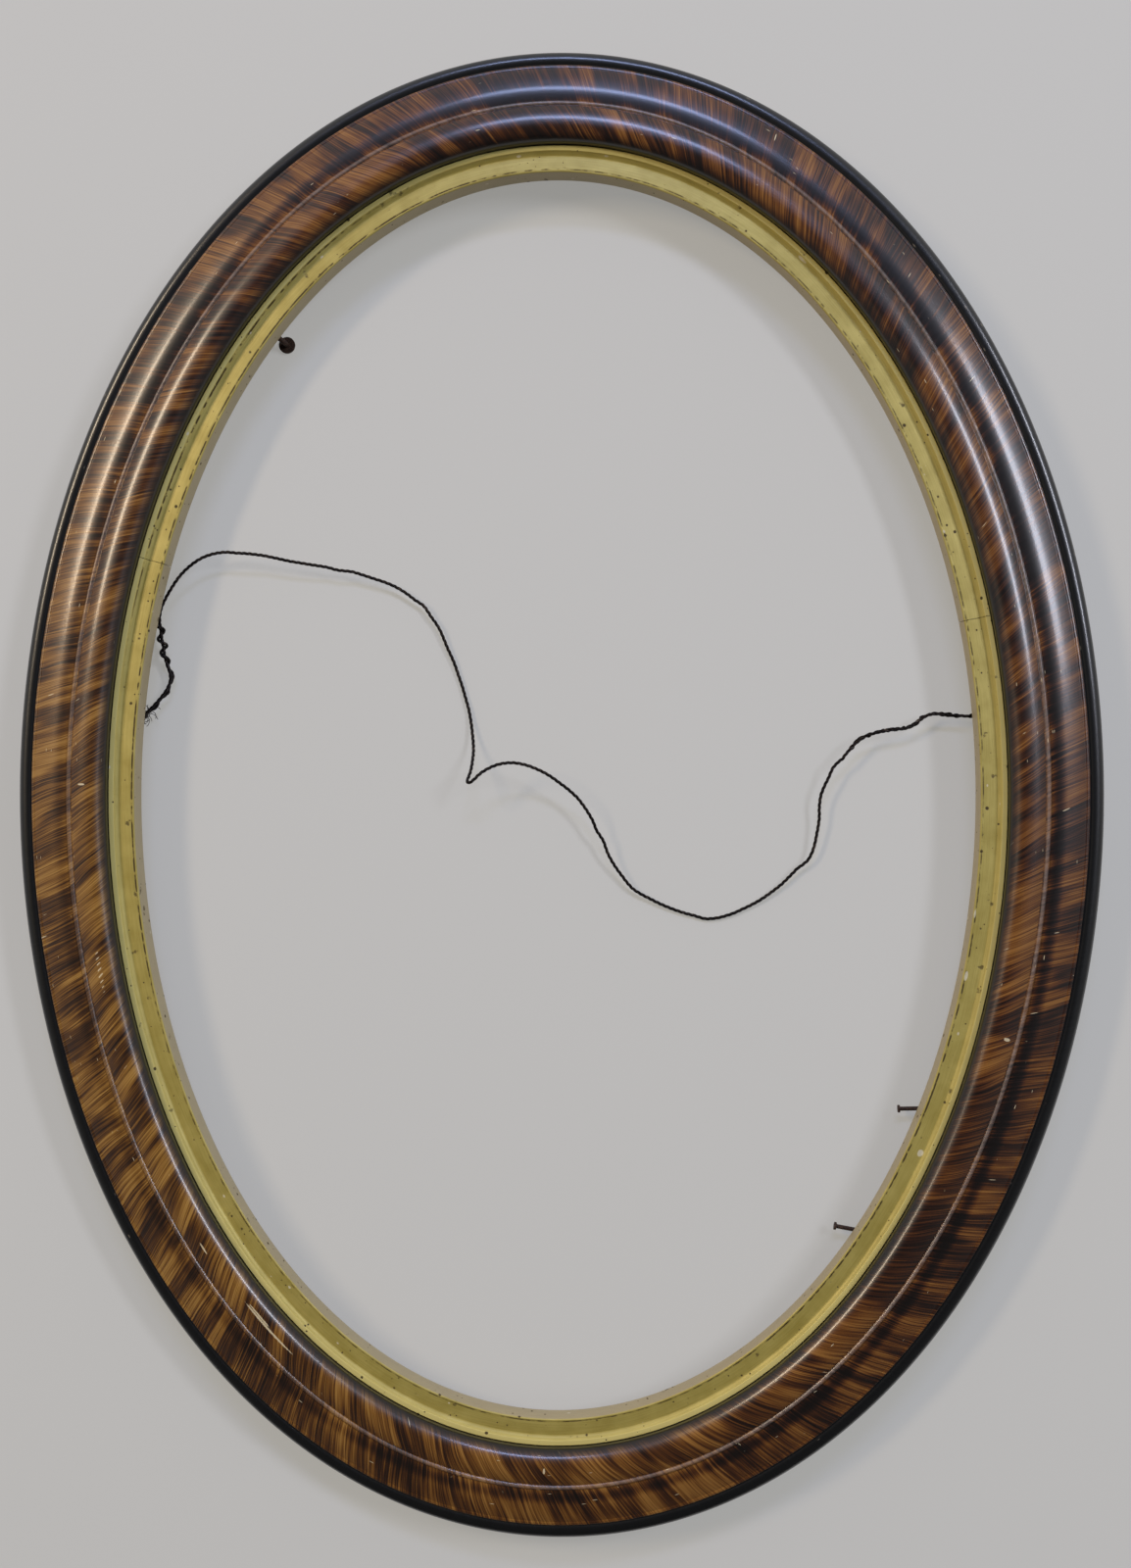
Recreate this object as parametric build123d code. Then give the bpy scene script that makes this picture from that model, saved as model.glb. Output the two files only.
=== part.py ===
from build123d import *
import math
import os

# An empty oval picture frame, lying on its back: +Z out of its front, +Y to its top, +X to its right.
# The origin is the centre of the oval on the back face. Sizes are in millimetres, angles in degrees.
# Angles round the oval are ellipse parameters, from +X towards +Y.

# Oval of the glass that the frame was made for, and the lip that covers its edge
GLASS_WIDTH = 355.6
GLASS_LENGTH = 508.0
GLASS_CLEARANCE = 1.2
LIP_OVERLAP = 16.1

# Section of the moulding: widths run outwards from the sight edge, heights up from the back
GILT_WIDTH = 10.3
WOOD_WIDTH = 36.0
RABBET_DEPTH = 10.0
FLANGE_THICKNESS = 6.7
CROWN_HEIGHT = 8.3
GILT_RISE = 2.0
SLIP_CLEARANCE = 0.15

# Outline of the grained wood: shares of WOOD_WIDTH from the nose, and of CROWN_HEIGHT above the shoulder
NOSE_TOP_SHARES = (0.0, 0.49)
ROLL_TOP_SHARES = (0.157, 1.0)
ROLL_EDGE_SHARES = (0.354, 0.783)
BEAD_INNER_SHARES = (0.368, 0.74)
BEAD_TOP_SHARES = (0.393, 0.798)
BEAD_OUTER_SHARES = (0.418, 0.677)
SLOPE_TOP_SHARES = (0.4875, 0.69)
SLOPE_MIDDLE_SHARES = (0.599, 0.632)
SLOPE_FOOT_SHARES = (0.793, 0.355)
FILLET_TOP_SHARES = (0.814, 0.351)
FILLET_EDGE_SHARES = (0.832, 0.318)
QUIRK_SHARES = (0.845, 0.167)
RIM_CROWN_SHARES = (0.897, 0.232)
RIM_SHOULDER_SHARES = (0.95, 0.18)
RIM_EDGE_SHARES = (1.0, -0.084)
BACK_EDGE_SHARE = 0.89

# Outline of the gilt slip: shares of GILT_WIDTH from the sight edge, and of GILT_RISE above the flange
ARRIS_FOOT_SHARES = (0.04, 0.28)
ARRIS_TOP_SHARES = (0.07, 0.50)
ARRIS_BACK_SHARES = (0.135, 0.46)
DISH_SHARES = (0.41, 0.30)
DISH_FOOT_SHARES = (0.66, 0.10)
GILT_COVE_SHARES = (0.75, 0.36)
GILT_EDGE_SHARES = (0.815, 0.88)

# Joints between the rails, and the loose tongues in them
RAIL_JOINT_ANGLE = 55.0
TONGUE_LENGTH = 26.0
TONGUE_WIDTH = 14.0
TONGUE_THICKNESS = 4.0
TONGUE_HEIGHT = 7.0
TONGUE_CLEARANCE = 0.1

# Joints between the two lengths of gilt slip, and the pins that hold the slip up
SLIP_RIGHT_ANGLE = 16.2
SLIP_LEFT_ANGLE = 157.8
PIN_COUNT = 8
PIN_FIRST_ANGLE = 20.0
PIN_DIAMETER = 1.0
PIN_LENGTH = 11.5
PIN_CLEARANCE = 0.03

# Nails left in the rabbet wall
NAIL_HEIGHT_SHARE = 0.5
NAIL_CLEARANCE = 0.03
BRAD_DIAMETER = 1.6
BRAD_LENGTH = 38.0
BRAD_BITE = 13.0
BRAD_HEAD_DIAMETER = 2.9
BRAD_HEAD_THICKNESS = 0.8
BRAD_SKEW = 22.0
UPPER_BRAD_ANGLE = -28.5
LOWER_BRAD_ANGLE = -42.6
TACK_DIAMETER = 2.0
TACK_REACH = 18.0
TACK_BITE = 9.0
TACK_BEND_RADIUS = 2.2
TACK_HEAD_DIAMETER = 6.4
TACK_HEAD_THICKNESS = 0.9
TACK_HEAD_LIFT = 0.3
TACK_ANGLE = 131.2
POINT_LENGTH_SHARE = 1.6

# Screw eyes in the rabbet wall
EYE_WIRE_DIAMETER = 1.8
EYE_RING_DIAMETER = 6.0
EYE_STANDOFF = 0.8
EYE_BITE = 12.0
EYE_CLEARANCE = 0.03
LEFT_EYE_ANGLE = 174.5
RIGHT_EYE_ANGLE = 7.6

# Hanging wire: twisted steel, stiff enough to stand off the surface where it was bent
WIRE_DIAMETER = 1.3
WIRE_GAP = 0.2
WIRE_ROUTE = [
    (-163.6, 30.6, 4.8), (-157.3, 37.0, 4.4), (-153.0, 42.4, 4.2), (-151.5, 47.2, 4.1),
    (-153.9, 53.0, 4.1), (-155.6, 63.4, 4.3), (-156.6, 72.0, 4.8), (-152.7, 79.8, 5.8),
    (-146.2, 88.3, 7.0), (-136.6, 94.6, 7.8), (-125.0, 95.9, 8.0), (-110.7, 93.9, 7.2),
    (-97.0, 91.5, 6.2), (-80.0, 88.1, 4.8), (-63.6, 84.1, 3.6), (-53.0, 76.8, 2.8),
    (-45.5, 67.8, 2.2), (-42.5, 58.4, 1.7), (-38.5, 50.4, 1.2), (-35.7, 40.4, 1.0),
    (-32.6, 29.6, 1.3), (-31.0, 21.0, 3.4), (-30.5, 14.8, 7.2), (-31.6, 9.6, 11.2),
    (-33.0, 5.4, 14.6), (-31.0, 5.2, 16.4), (-27.0, 9.8, 15.6), (-18.6, 13.4, 14.2),
    (-8.4, 12.6, 12.6), (1.9, 7.3, 10.8), (10.9, -1.8, 8.8), (17.8, -12.8, 6.6),
    (21.9, -24.8, 4.4), (29.9, -35.8, 2.6), (42.6, -43.0, 1.3), (57.2, -48.0, 0.9),
    (68.4, -47.4, 0.9), (79.4, -41.3, 1.2), (90.4, -32.6, 2.2), (99.8, -24.2, 3.2),
    (103.0, -12.7, 4.2), (103.0, -1.8, 5.2), (107.4, 10.0, 6.2), (113.4, 16.6, 6.8),
    (118.4, 23.0, 6.9), (129.0, 26.0, 6.7), (137.8, 26.3, 6.3), (144.2, 32.4, 6.0),
    (153.0, 31.4, 5.6), (161.8, 30.9, 5.2),
]
ARC_SHARE = 0.45

# Wire tails: turned round the screw eyes and wound back round the wire
TAIL_CLOSING = 8.0
TAIL_STEP = 4.0
LEFT_WRAP_START = 35.0
LEFT_WRAP_LENGTH = 17.5
LEFT_WRAP_TURNS = 3
RIGHT_WRAP_START = 8.0
RIGHT_WRAP_LENGTH = 54.0
RIGHT_WRAP_TURNS = 6
STEPS_PER_TURN = 4
GAP_SAMPLES = 400

# One overrun serves every cut that leaves its piece
OVERRUN = 1.0

# Sizes that follow
SIGHT_X = GLASS_WIDTH / 2 - LIP_OVERLAP
SIGHT_Y = GLASS_LENGTH / 2 - LIP_OVERLAP
RABBET_WALL = LIP_OVERLAP + GLASS_CLEARANCE
SHOULDER = RABBET_DEPTH + FLANGE_THICKNESS
NOSE = GILT_WIDTH + SLIP_CLEARANCE
BACK_EDGE = NOSE + BACK_EDGE_SHARE * WOOD_WIDTH
NAIL_HEIGHT = NAIL_HEIGHT_SHARE * RABBET_DEPTH


def oval_normal(angle):
    """Outward normal of the sight oval."""
    t = math.radians(angle)
    return Vector(SIGHT_Y * math.cos(t), SIGHT_X * math.sin(t), 0).normalized()


def oval_point(angle, outset=0.0, height=0.0):
    """Point at an outset from the sight oval, at a height above the back."""
    t = math.radians(angle)
    edge = Vector(SIGHT_X * math.cos(t), SIGHT_Y * math.sin(t), height)
    return edge + oval_normal(angle) * outset


def oval_frame(angle, outset=0.0, height=0.0):
    """Plane across the moulding: x outwards, y up, z against the direction of travel."""
    normal = oval_normal(angle)
    return Plane(origin=oval_point(angle, outset, height), x_dir=normal, z_dir=normal.cross(Vector(0, 0, 1)))


def run_moulding(outline, start, end):
    """Runs an outline round the oval from one angle to another."""
    path = EllipticalCenterArc((0, 0), SIGHT_X, SIGHT_Y, start, arc_size=end - start)
    return sweep(oval_frame(start) * outline, path=path)


def wood_at(shares):
    return (NOSE + shares[0] * WOOD_WIDTH, SHOULDER + shares[1] * CROWN_HEIGHT)


def gilt_at(shares):
    return (shares[0] * GILT_WIDTH, SHOULDER + shares[1] * GILT_RISE)


def rail_outline():
    """Grained moulding: a roll, a fine bead, a broad slope with a narrow fillet, and a black rounded rim."""
    nose_top = wood_at(NOSE_TOP_SHARES)
    roll_top = wood_at(ROLL_TOP_SHARES)
    roll_edge = wood_at(ROLL_EDGE_SHARES)
    bead_inner = wood_at(BEAD_INNER_SHARES)
    bead_outer = wood_at(BEAD_OUTER_SHARES)
    slope_top = wood_at(SLOPE_TOP_SHARES)
    slope_foot = wood_at(SLOPE_FOOT_SHARES)
    fillet_edge = wood_at(FILLET_EDGE_SHARES)
    quirk = wood_at(QUIRK_SHARES)
    rim_shoulder = wood_at(RIM_SHOULDER_SHARES)
    rim_edge = wood_at(RIM_EDGE_SHARES)
    slope = TangentArc(slope_top, wood_at(SLOPE_MIDDLE_SHARES), tangent=(1, 0))
    rim = ThreePointArc(quirk, wood_at(RIM_CROWN_SHARES), rim_shoulder)
    edges = [
        Line((NOSE, SHOULDER), nose_top),
        TangentArc(roll_top, nose_top, tangent=(-1, 0)),
        TangentArc(roll_top, roll_edge, tangent=(1, 0)),
        Line(roll_edge, bead_inner),
        ThreePointArc(bead_inner, wood_at(BEAD_TOP_SHARES), bead_outer),
        TangentArc(slope_top, bead_outer, tangent=(-1, 0)),
        slope,
        TangentArc(slope @ 1, slope_foot, tangent=slope % 1),
        ThreePointArc(slope_foot, wood_at(FILLET_TOP_SHARES), fillet_edge),
        Line(fillet_edge, quirk),
        rim,
        TangentArc(rim_shoulder, rim_edge, tangent=rim % 1),
        Polyline(rim_edge, (BACK_EDGE, 0), (RABBET_WALL, 0), (RABBET_WALL, SHOULDER), (NOSE, SHOULDER)),
    ]
    return make_face(edges)


def slip_outline():
    """Gilt slip: a sight edge with a fine arris, a dished band, a cove and a fillet, and a flange behind."""
    flange_end = RABBET_WALL - SLIP_CLEARANCE
    arris_foot = gilt_at(ARRIS_FOOT_SHARES)
    arris_back = gilt_at(ARRIS_BACK_SHARES)
    dish_foot = gilt_at(DISH_FOOT_SHARES)
    gilt_edge = gilt_at(GILT_EDGE_SHARES)
    edges = [
        Line((0, RABBET_DEPTH), arris_foot),
        ThreePointArc(arris_foot, gilt_at(ARRIS_TOP_SHARES), arris_back),
        ThreePointArc(arris_back, gilt_at(DISH_SHARES), dish_foot),
        ThreePointArc(dish_foot, gilt_at(GILT_COVE_SHARES), gilt_edge),
        Polyline(gilt_edge, (GILT_WIDTH, SHOULDER + GILT_RISE), (GILT_WIDTH, SHOULDER),
                 (flange_end, SHOULDER), (flange_end, RABBET_DEPTH), (0, RABBET_DEPTH)),
    ]
    return make_face(edges)


def rod(start, end, diameter):
    """Round bar from one point to another."""
    axis = end - start
    return extrude(Plane(origin=start, z_dir=axis) * Circle(diameter / 2), amount=axis.length)


def pointed_rod(start, end, diameter):
    """Round bar that ends in a point."""
    axis = (end - start).normalized()
    point_length = POINT_LENGTH_SHARE * diameter
    neck = end - axis * point_length
    tip = Plane(origin=neck + axis * (point_length / 2), z_dir=axis) * Cone(diameter / 2, 0, point_length)
    return rod(start, neck, diameter) + tip


def bore(start, end, diameter, clearance, overrun):
    """Hole for a bar, open at its start and a clearance deeper than its end."""
    axis = (end - start).normalized()
    return rod(start - axis * overrun, end + axis * clearance, diameter + 2 * clearance)


def tongue(angle, clearance=0.0):
    """Loose tongue across the joint at an angle, or the slot for it."""
    middle = (RABBET_WALL + BACK_EDGE) / 2
    size = [length + 2 * clearance for length in (TONGUE_WIDTH, TONGUE_THICKNESS, TONGUE_LENGTH)]
    return oval_frame(angle, middle, TONGUE_HEIGHT) * Box(*size)


def slip_pin_ends(angle):
    """Lower and upper end of a pin through the flange into the rail above it."""
    outset = (NOSE + RABBET_WALL) / 2
    return oval_point(angle, outset, RABBET_DEPTH), oval_point(angle, outset, RABBET_DEPTH + PIN_LENGTH)


def inward(angle, skew=0.0):
    """Direction from the rabbet wall into the opening, turned by a skew about Z."""
    return (-oval_normal(angle)).rotate(Axis.Z, skew)


def brad_ends(angle):
    """Face of a brad's head, and its point inside the rail."""
    entry = oval_point(angle, RABBET_WALL, NAIL_HEIGHT)
    into_opening = inward(angle, BRAD_SKEW)
    return entry + into_opening * (BRAD_LENGTH - BRAD_BITE), entry - into_opening * BRAD_BITE


def brad(angle):
    face, point = brad_ends(angle)
    axis = (point - face).normalized()
    head = rod(face, face + axis * BRAD_HEAD_THICKNESS, BRAD_HEAD_DIAMETER)
    return head + pointed_rod(face, point, BRAD_DIAMETER)


def tack_ends():
    """Where the bent tack's straight part starts its bend, and its point inside the rail."""
    entry = oval_point(TACK_ANGLE, RABBET_WALL, NAIL_HEIGHT)
    into_opening = inward(TACK_ANGLE)
    return entry + into_opening * (TACK_REACH - TACK_BEND_RADIUS), entry - into_opening * TACK_BITE


def tack():
    """Broad-headed tack, bent down so that the underside of its head faces the front."""
    bend, point = tack_ends()
    into_opening = inward(TACK_ANGLE)
    down = Vector(0, 0, -1)
    corner = bend + into_opening * TACK_BEND_RADIUS
    arc = TangentArc(bend, corner + down * TACK_BEND_RADIUS, tangent=into_opening)
    elbow = sweep(Plane(origin=bend, z_dir=into_opening) * Circle(TACK_DIAMETER / 2), path=arc)
    head_face = Vector(corner.X, corner.Y, TACK_HEAD_LIFT)
    neck = rod(head_face, arc @ 1, TACK_DIAMETER)
    head = rod(head_face, head_face - down * TACK_HEAD_THICKNESS, TACK_HEAD_DIAMETER)
    return head + neck + elbow + pointed_rod(bend, point, TACK_DIAMETER)


def eye_centre(angle):
    outset = RABBET_WALL - EYE_STANDOFF - (EYE_RING_DIAMETER + EYE_WIRE_DIAMETER) / 2
    return oval_point(angle, outset, NAIL_HEIGHT)


def eye_shank_ends(angle):
    """Root of the shank in the ring's bar, and its point inside the rail."""
    root = eye_centre(angle) - inward(angle) * (EYE_RING_DIAMETER / 2)
    return root, oval_point(angle, RABBET_WALL + EYE_BITE, NAIL_HEIGHT)


def screw_eye(angle):
    """Ring that stands across the rabbet, on a pointed shank in the wall."""
    tangent = oval_normal(angle).rotate(Axis.Z, 90)
    ring_plane = Plane(origin=eye_centre(angle), x_dir=oval_normal(angle), z_dir=tangent)
    ring = ring_plane * Torus(EYE_RING_DIAMETER / 2, EYE_WIRE_DIAMETER / 2)
    return ring + pointed_rod(*eye_shank_ends(angle), EYE_WIRE_DIAMETER)


def eye_tip(angle):
    """Middle of the ring's bar where it is furthest into the opening."""
    return eye_centre(angle) + inward(angle) * (EYE_RING_DIAMETER / 2)


TURN_RADIUS = EYE_WIRE_DIAMETER / 2 + WIRE_GAP + WIRE_DIAMETER / 2


def wire_start(tip, next_point):
    """Place where the wire, tangent to its turn round a screw eye, heads straight for the next point."""
    to_next = next_point - tip
    level = Vector(to_next.X, to_next.Y, 0)
    swing = math.degrees(math.asin(TURN_RADIUS / level.length))
    leave = level.normalized().rotate(Axis.Z, -swing)
    side = leave.rotate(Axis.Z, 90)
    run = next_point - (tip + side * TURN_RADIUS)
    return tip + side * TURN_RADIUS + run.normalized() * WIRE_DIAMETER


def wire_path():
    """Route from eye to eye, as straight runs joined by the largest arcs that the runs allow."""
    middle = [Vector(*point) for point in WIRE_ROUTE]
    first = wire_start(eye_tip(LEFT_EYE_ANGLE), middle[0])
    last = wire_start(eye_tip(RIGHT_EYE_ANGLE), middle[-1])
    points = [first] + middle + [last]
    radii = []
    for before, corner, after in zip(points, points[1:], points[2:]):
        turn = (corner - before).get_angle(after - corner)
        shorter = min((corner - before).length, (after - corner).length)
        radii.append(ARC_SHARE * shorter / math.tan(math.radians(turn / 2)))
    print("wire radii", [round(radius, 1) for radius in radii])
    return FilletPolyline(*points, radius=radii)


def tube(edges, start, direction):
    """Wire along a path that starts at a point in a direction."""
    return sweep(Plane(origin=start, z_dir=direction) * Circle(WIRE_DIAMETER / 2), path=Wire(edges))


def biarc(start, start_direction, end, end_direction):
    """Two arcs that join two points and leave both in the given directions."""
    chord = end - start
    total = start_direction + end_direction
    spread = 2 * (1 - start_direction.dot(end_direction))
    along = chord.dot(total)
    reach = (math.sqrt(along * along + spread * chord.dot(chord)) - along) / spread
    meeting = (start + end + (start_direction - end_direction) * reach) * 0.5
    first = TangentArc(start, meeting, tangent=start_direction)
    second = TangentArc(meeting, end, tangent=first % 1)
    return [first, second]


def wound_tail(tip, along_wire, wrap_start, wrap_length, turns):
    """Tail from the wire's end, round the eye and back along the wire, then wound round it."""
    wrap_radius = WIRE_DIAMETER + WIRE_GAP
    wire_end, leave = along_wire(0.0)
    side = Vector(0, 0, 1).cross(leave).normalized()
    turn_start = wire_end - leave * WIRE_DIAMETER
    turn_end = turn_start - side * (2 * TURN_RADIUS)
    edges = [Line(wire_end, turn_start), ThreePointArc(turn_start, tip - leave * TURN_RADIUS, turn_end)]

    def tail_point(distance):
        place, direction = along_wire(distance)
        across = Vector(0, 0, 1).cross(direction).normalized()
        upright = direction.cross(across)
        ease = min(distance / TAIL_CLOSING, 1.0)
        ease = ease * ease * (3 - 2 * ease)
        offset = 2 * TURN_RADIUS + (wrap_radius - 2 * TURN_RADIUS) * ease
        swing = max(distance - wrap_start, 0.0) / wrap_length * turns * 2 * math.pi
        return place - across * (offset * math.cos(swing)) + upright * (offset * math.sin(swing))

    step = WIRE_DIAMETER / 10
    straight_steps = round(wrap_start / TAIL_STEP)
    stations = [wrap_start * (k + 1) / straight_steps for k in range(straight_steps)]
    wrap_steps = turns * STEPS_PER_TURN
    stations += [wrap_start + wrap_length * (k + 1) / wrap_steps for k in range(wrap_steps)]
    place, direction = turn_end, leave
    for distance in stations:
        next_place = tail_point(distance)
        next_direction = (tail_point(distance + step) - tail_point(distance - step)).normalized()
        edges += biarc(place, direction, next_place, next_direction)
        place, direction = next_place, next_direction
    edges.append(Line(place, place + direction * WIRE_DIAMETER))
    return edges, -leave


def report_tube(name, solid, edges):
    """Prints a tube's volume beside its section times its length."""
    length = sum(edge.length for edge in edges)
    section = math.pi * WIRE_DIAMETER ** 2 / 4
    print(name, "length %.1f volume %.2f section x length %.2f" % (length, solid.volume, section * length))


def report_gap(name, edges):
    """Prints the least gap of a wound tube to itself, measured between points over half a turn apart."""
    path = Wire(edges)
    points = [path @ (k / GAP_SAMPLES) for k in range(GAP_SAMPLES + 1)]
    apart = math.ceil(math.pi * (WIRE_DIAMETER + WIRE_GAP) / (path.length / GAP_SAMPLES))
    least = min((points[i] - points[j]).length
                for i in range(len(points)) for j in range(i + apart, len(points)))
    print(name, "least gap to itself %.2f" % (least - WIRE_DIAMETER))


def build():
    """All the pieces, by name."""
    rail_angles = [RAIL_JOINT_ANGLE, 180 - RAIL_JOINT_ANGLE, 180 + RAIL_JOINT_ANGLE, 360 - RAIL_JOINT_ANGLE]
    rail_spans = {
        "top_rail": (rail_angles[0], rail_angles[1]),
        "left_rail": (rail_angles[1], rail_angles[2]),
        "bottom_rail": (rail_angles[2], rail_angles[3]),
        "right_rail": (rail_angles[3] - 360, rail_angles[0]),
    }
    slip_spans = {
        "upper_gilt_slip": (SLIP_RIGHT_ANGLE, SLIP_LEFT_ANGLE),
        "lower_gilt_slip": (SLIP_LEFT_ANGLE, SLIP_RIGHT_ANGLE + 360),
    }
    tongue_names = ["upper_right_tongue", "upper_left_tongue", "lower_left_tongue", "lower_right_tongue"]
    pin_angles = [PIN_FIRST_ANGLE + 360 * k / PIN_COUNT for k in range(PIN_COUNT)]
    pin_bores = [bore(*slip_pin_ends(angle), PIN_DIAMETER, PIN_CLEARANCE, OVERRUN) for angle in pin_angles]

    rail_cuts = [tongue(angle, TONGUE_CLEARANCE) for angle in rail_angles] + pin_bores
    for angle in (UPPER_BRAD_ANGLE, LOWER_BRAD_ANGLE):
        rail_cuts.append(bore(*brad_ends(angle), BRAD_DIAMETER, NAIL_CLEARANCE, 0))
    rail_cuts.append(bore(*tack_ends(), TACK_DIAMETER, NAIL_CLEARANCE, 0))
    for angle in (LEFT_EYE_ANGLE, RIGHT_EYE_ANGLE):
        rail_cuts.append(bore(*eye_shank_ends(angle), EYE_WIRE_DIAMETER, EYE_CLEARANCE, 0))

    pieces = {}
    outline = rail_outline()
    for name, span in rail_spans.items():
        pieces[name] = run_moulding(outline, *span) - rail_cuts
    for name, angle in zip(tongue_names, rail_angles):
        pieces[name] = tongue(angle)
    outline = slip_outline()
    for name, span in slip_spans.items():
        pieces[name] = run_moulding(outline, *span) - pin_bores
    pins = [rod(*slip_pin_ends(angle), PIN_DIAMETER) for angle in pin_angles]
    pieces["slip_pins"] = Compound(children=pins)
    pieces["backing_tack"] = tack()
    pieces["upper_brad"] = brad(UPPER_BRAD_ANGLE)
    pieces["lower_brad"] = brad(LOWER_BRAD_ANGLE)
    pieces["left_screw_eye"] = screw_eye(LEFT_EYE_ANGLE)
    pieces["right_screw_eye"] = screw_eye(RIGHT_EYE_ANGLE)

    path = wire_path()
    pieces["hanging_wire"] = tube(path.edges(), path @ 0, path % 0)
    report_tube("hanging_wire", pieces["hanging_wire"], path.edges())

    def from_left(distance):
        return path.position_at(distance / path.length), path.tangent_at(distance / path.length)

    def from_right(distance):
        share = 1 - distance / path.length
        return path.position_at(share), -path.tangent_at(share)

    left_wrap = (LEFT_WRAP_START, LEFT_WRAP_LENGTH, LEFT_WRAP_TURNS)
    right_wrap = (RIGHT_WRAP_START, RIGHT_WRAP_LENGTH, RIGHT_WRAP_TURNS)
    tails = {
        "left_wire_tail": (LEFT_EYE_ANGLE, from_left, left_wrap),
        "right_wire_tail": (RIGHT_EYE_ANGLE, from_right, right_wrap),
    }
    for name, (angle, along_wire, wrap) in tails.items():
        edges, direction = wound_tail(eye_tip(angle), along_wire, *wrap)
        pieces[name] = tube(edges, edges[0] @ 0, direction)
        report_tube(name, pieces[name], edges)
        report_gap(name, edges)
    return pieces


os.makedirs("parts", exist_ok=True)
for node, shape in build().items():
    export_step(shape, "parts/" + node + ".step")
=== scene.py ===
import math
import random

import bpy
import numpy as np
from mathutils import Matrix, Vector


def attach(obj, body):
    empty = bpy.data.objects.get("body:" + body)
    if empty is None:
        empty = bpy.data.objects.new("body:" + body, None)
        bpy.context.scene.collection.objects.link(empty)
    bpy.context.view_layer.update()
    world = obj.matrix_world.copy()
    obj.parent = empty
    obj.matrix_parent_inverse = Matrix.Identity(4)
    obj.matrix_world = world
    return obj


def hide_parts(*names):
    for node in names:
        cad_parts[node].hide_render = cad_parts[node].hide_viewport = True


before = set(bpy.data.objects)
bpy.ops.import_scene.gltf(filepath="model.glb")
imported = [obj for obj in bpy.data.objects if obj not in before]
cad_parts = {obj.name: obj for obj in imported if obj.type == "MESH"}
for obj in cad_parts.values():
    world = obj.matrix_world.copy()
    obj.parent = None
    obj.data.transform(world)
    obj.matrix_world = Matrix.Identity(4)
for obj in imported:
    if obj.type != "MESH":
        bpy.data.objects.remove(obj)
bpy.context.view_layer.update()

# An empty oval picture frame that lies on its back: a wood-grained moulding with a black rim,
# a gilt slip inside it, and a twisted hanging wire that lies loose between two screw eyes.
# Lengths are in millimetres and become metres where a mesh, a camera or a lamp is made.
MM = 0.001

# Oval of the sight edge, and the section of the moulding outwards from it and up from the back
SIGHT_X = 161.7
SIGHT_Y = 237.9
GILT_WIDTH = 10.3
WOOD_WIDTH = 36.0
RABBET_DEPTH = 10.0
SHOULDER = 16.7
CROWN_HEIGHT = 8.3
GILT_RISE = 2.0
SLIP_CLEARANCE = 0.15
RABBET_WALL = 17.3
NOSE = GILT_WIDTH + SLIP_CLEARANCE
BACK_SHARE = 0.89
BACK_EDGE = NOSE + BACK_SHARE * WOOD_WIDTH
SEAM = 0.2

# Corners of the outlines: from which turn on they are rounded, over which reach, up to which share of a stretch and
# in how many steps, and from which turn on an edge is shaded as sharp
CORNER_ANGLE = 18.0
CORNER_REACH = 0.3
CORNER_SHARE = 0.45
CORNER_STEPS = 4
SHARP_ANGLE = 30.0

# Outline of the grained wood, as shares of WOOD_WIDTH from the nose and of CROWN_HEIGHT above the shoulder
WOOD_SHARES = {
    "nose_top": (0.0, 0.49), "roll_top": (0.157, 1.0), "roll_edge": (0.354, 0.783),
    "bead_inner": (0.368, 0.74), "bead_top": (0.393, 0.798), "bead_outer": (0.418, 0.677),
    "slope_top": (0.4875, 0.69), "slope_middle": (0.599, 0.632), "slope_foot": (0.793, 0.355),
    "fillet_top": (0.814, 0.351), "fillet_edge": (0.832, 0.318), "quirk": (0.845, 0.167),
    "rim_crown": (0.897, 0.232), "rim_shoulder": (0.95, 0.18), "rim_edge": (1.0, -0.084),
}

# Outline of the gilt slip, as shares of GILT_WIDTH from the sight edge and of GILT_RISE above the flange
GILT_SHARES = {
    "arris_foot": (0.04, 0.28), "arris_top": (0.07, 0.50), "arris_back": (0.135, 0.46), "dish": (0.41, 0.30),
    "dish_foot": (0.66, 0.10), "cove": (0.75, 0.36), "cove_edge": (0.815, 0.88), "fillet_edge": (1.0, 1.0),
}

# Steps of an arc in an outline, and length of a step along the oval
ARC_STEPS = 12
RUN_STEP = 1.6

# Angles, as ellipse parameters, at which the lengths of moulding meet
RAIL_JOINT_ANGLE = 55.0
SLIP_RIGHT_ANGLE = 16.2
SLIP_LEFT_ANGLE = 157.8
SLIP_JOINT_GAP = 0.2

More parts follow.
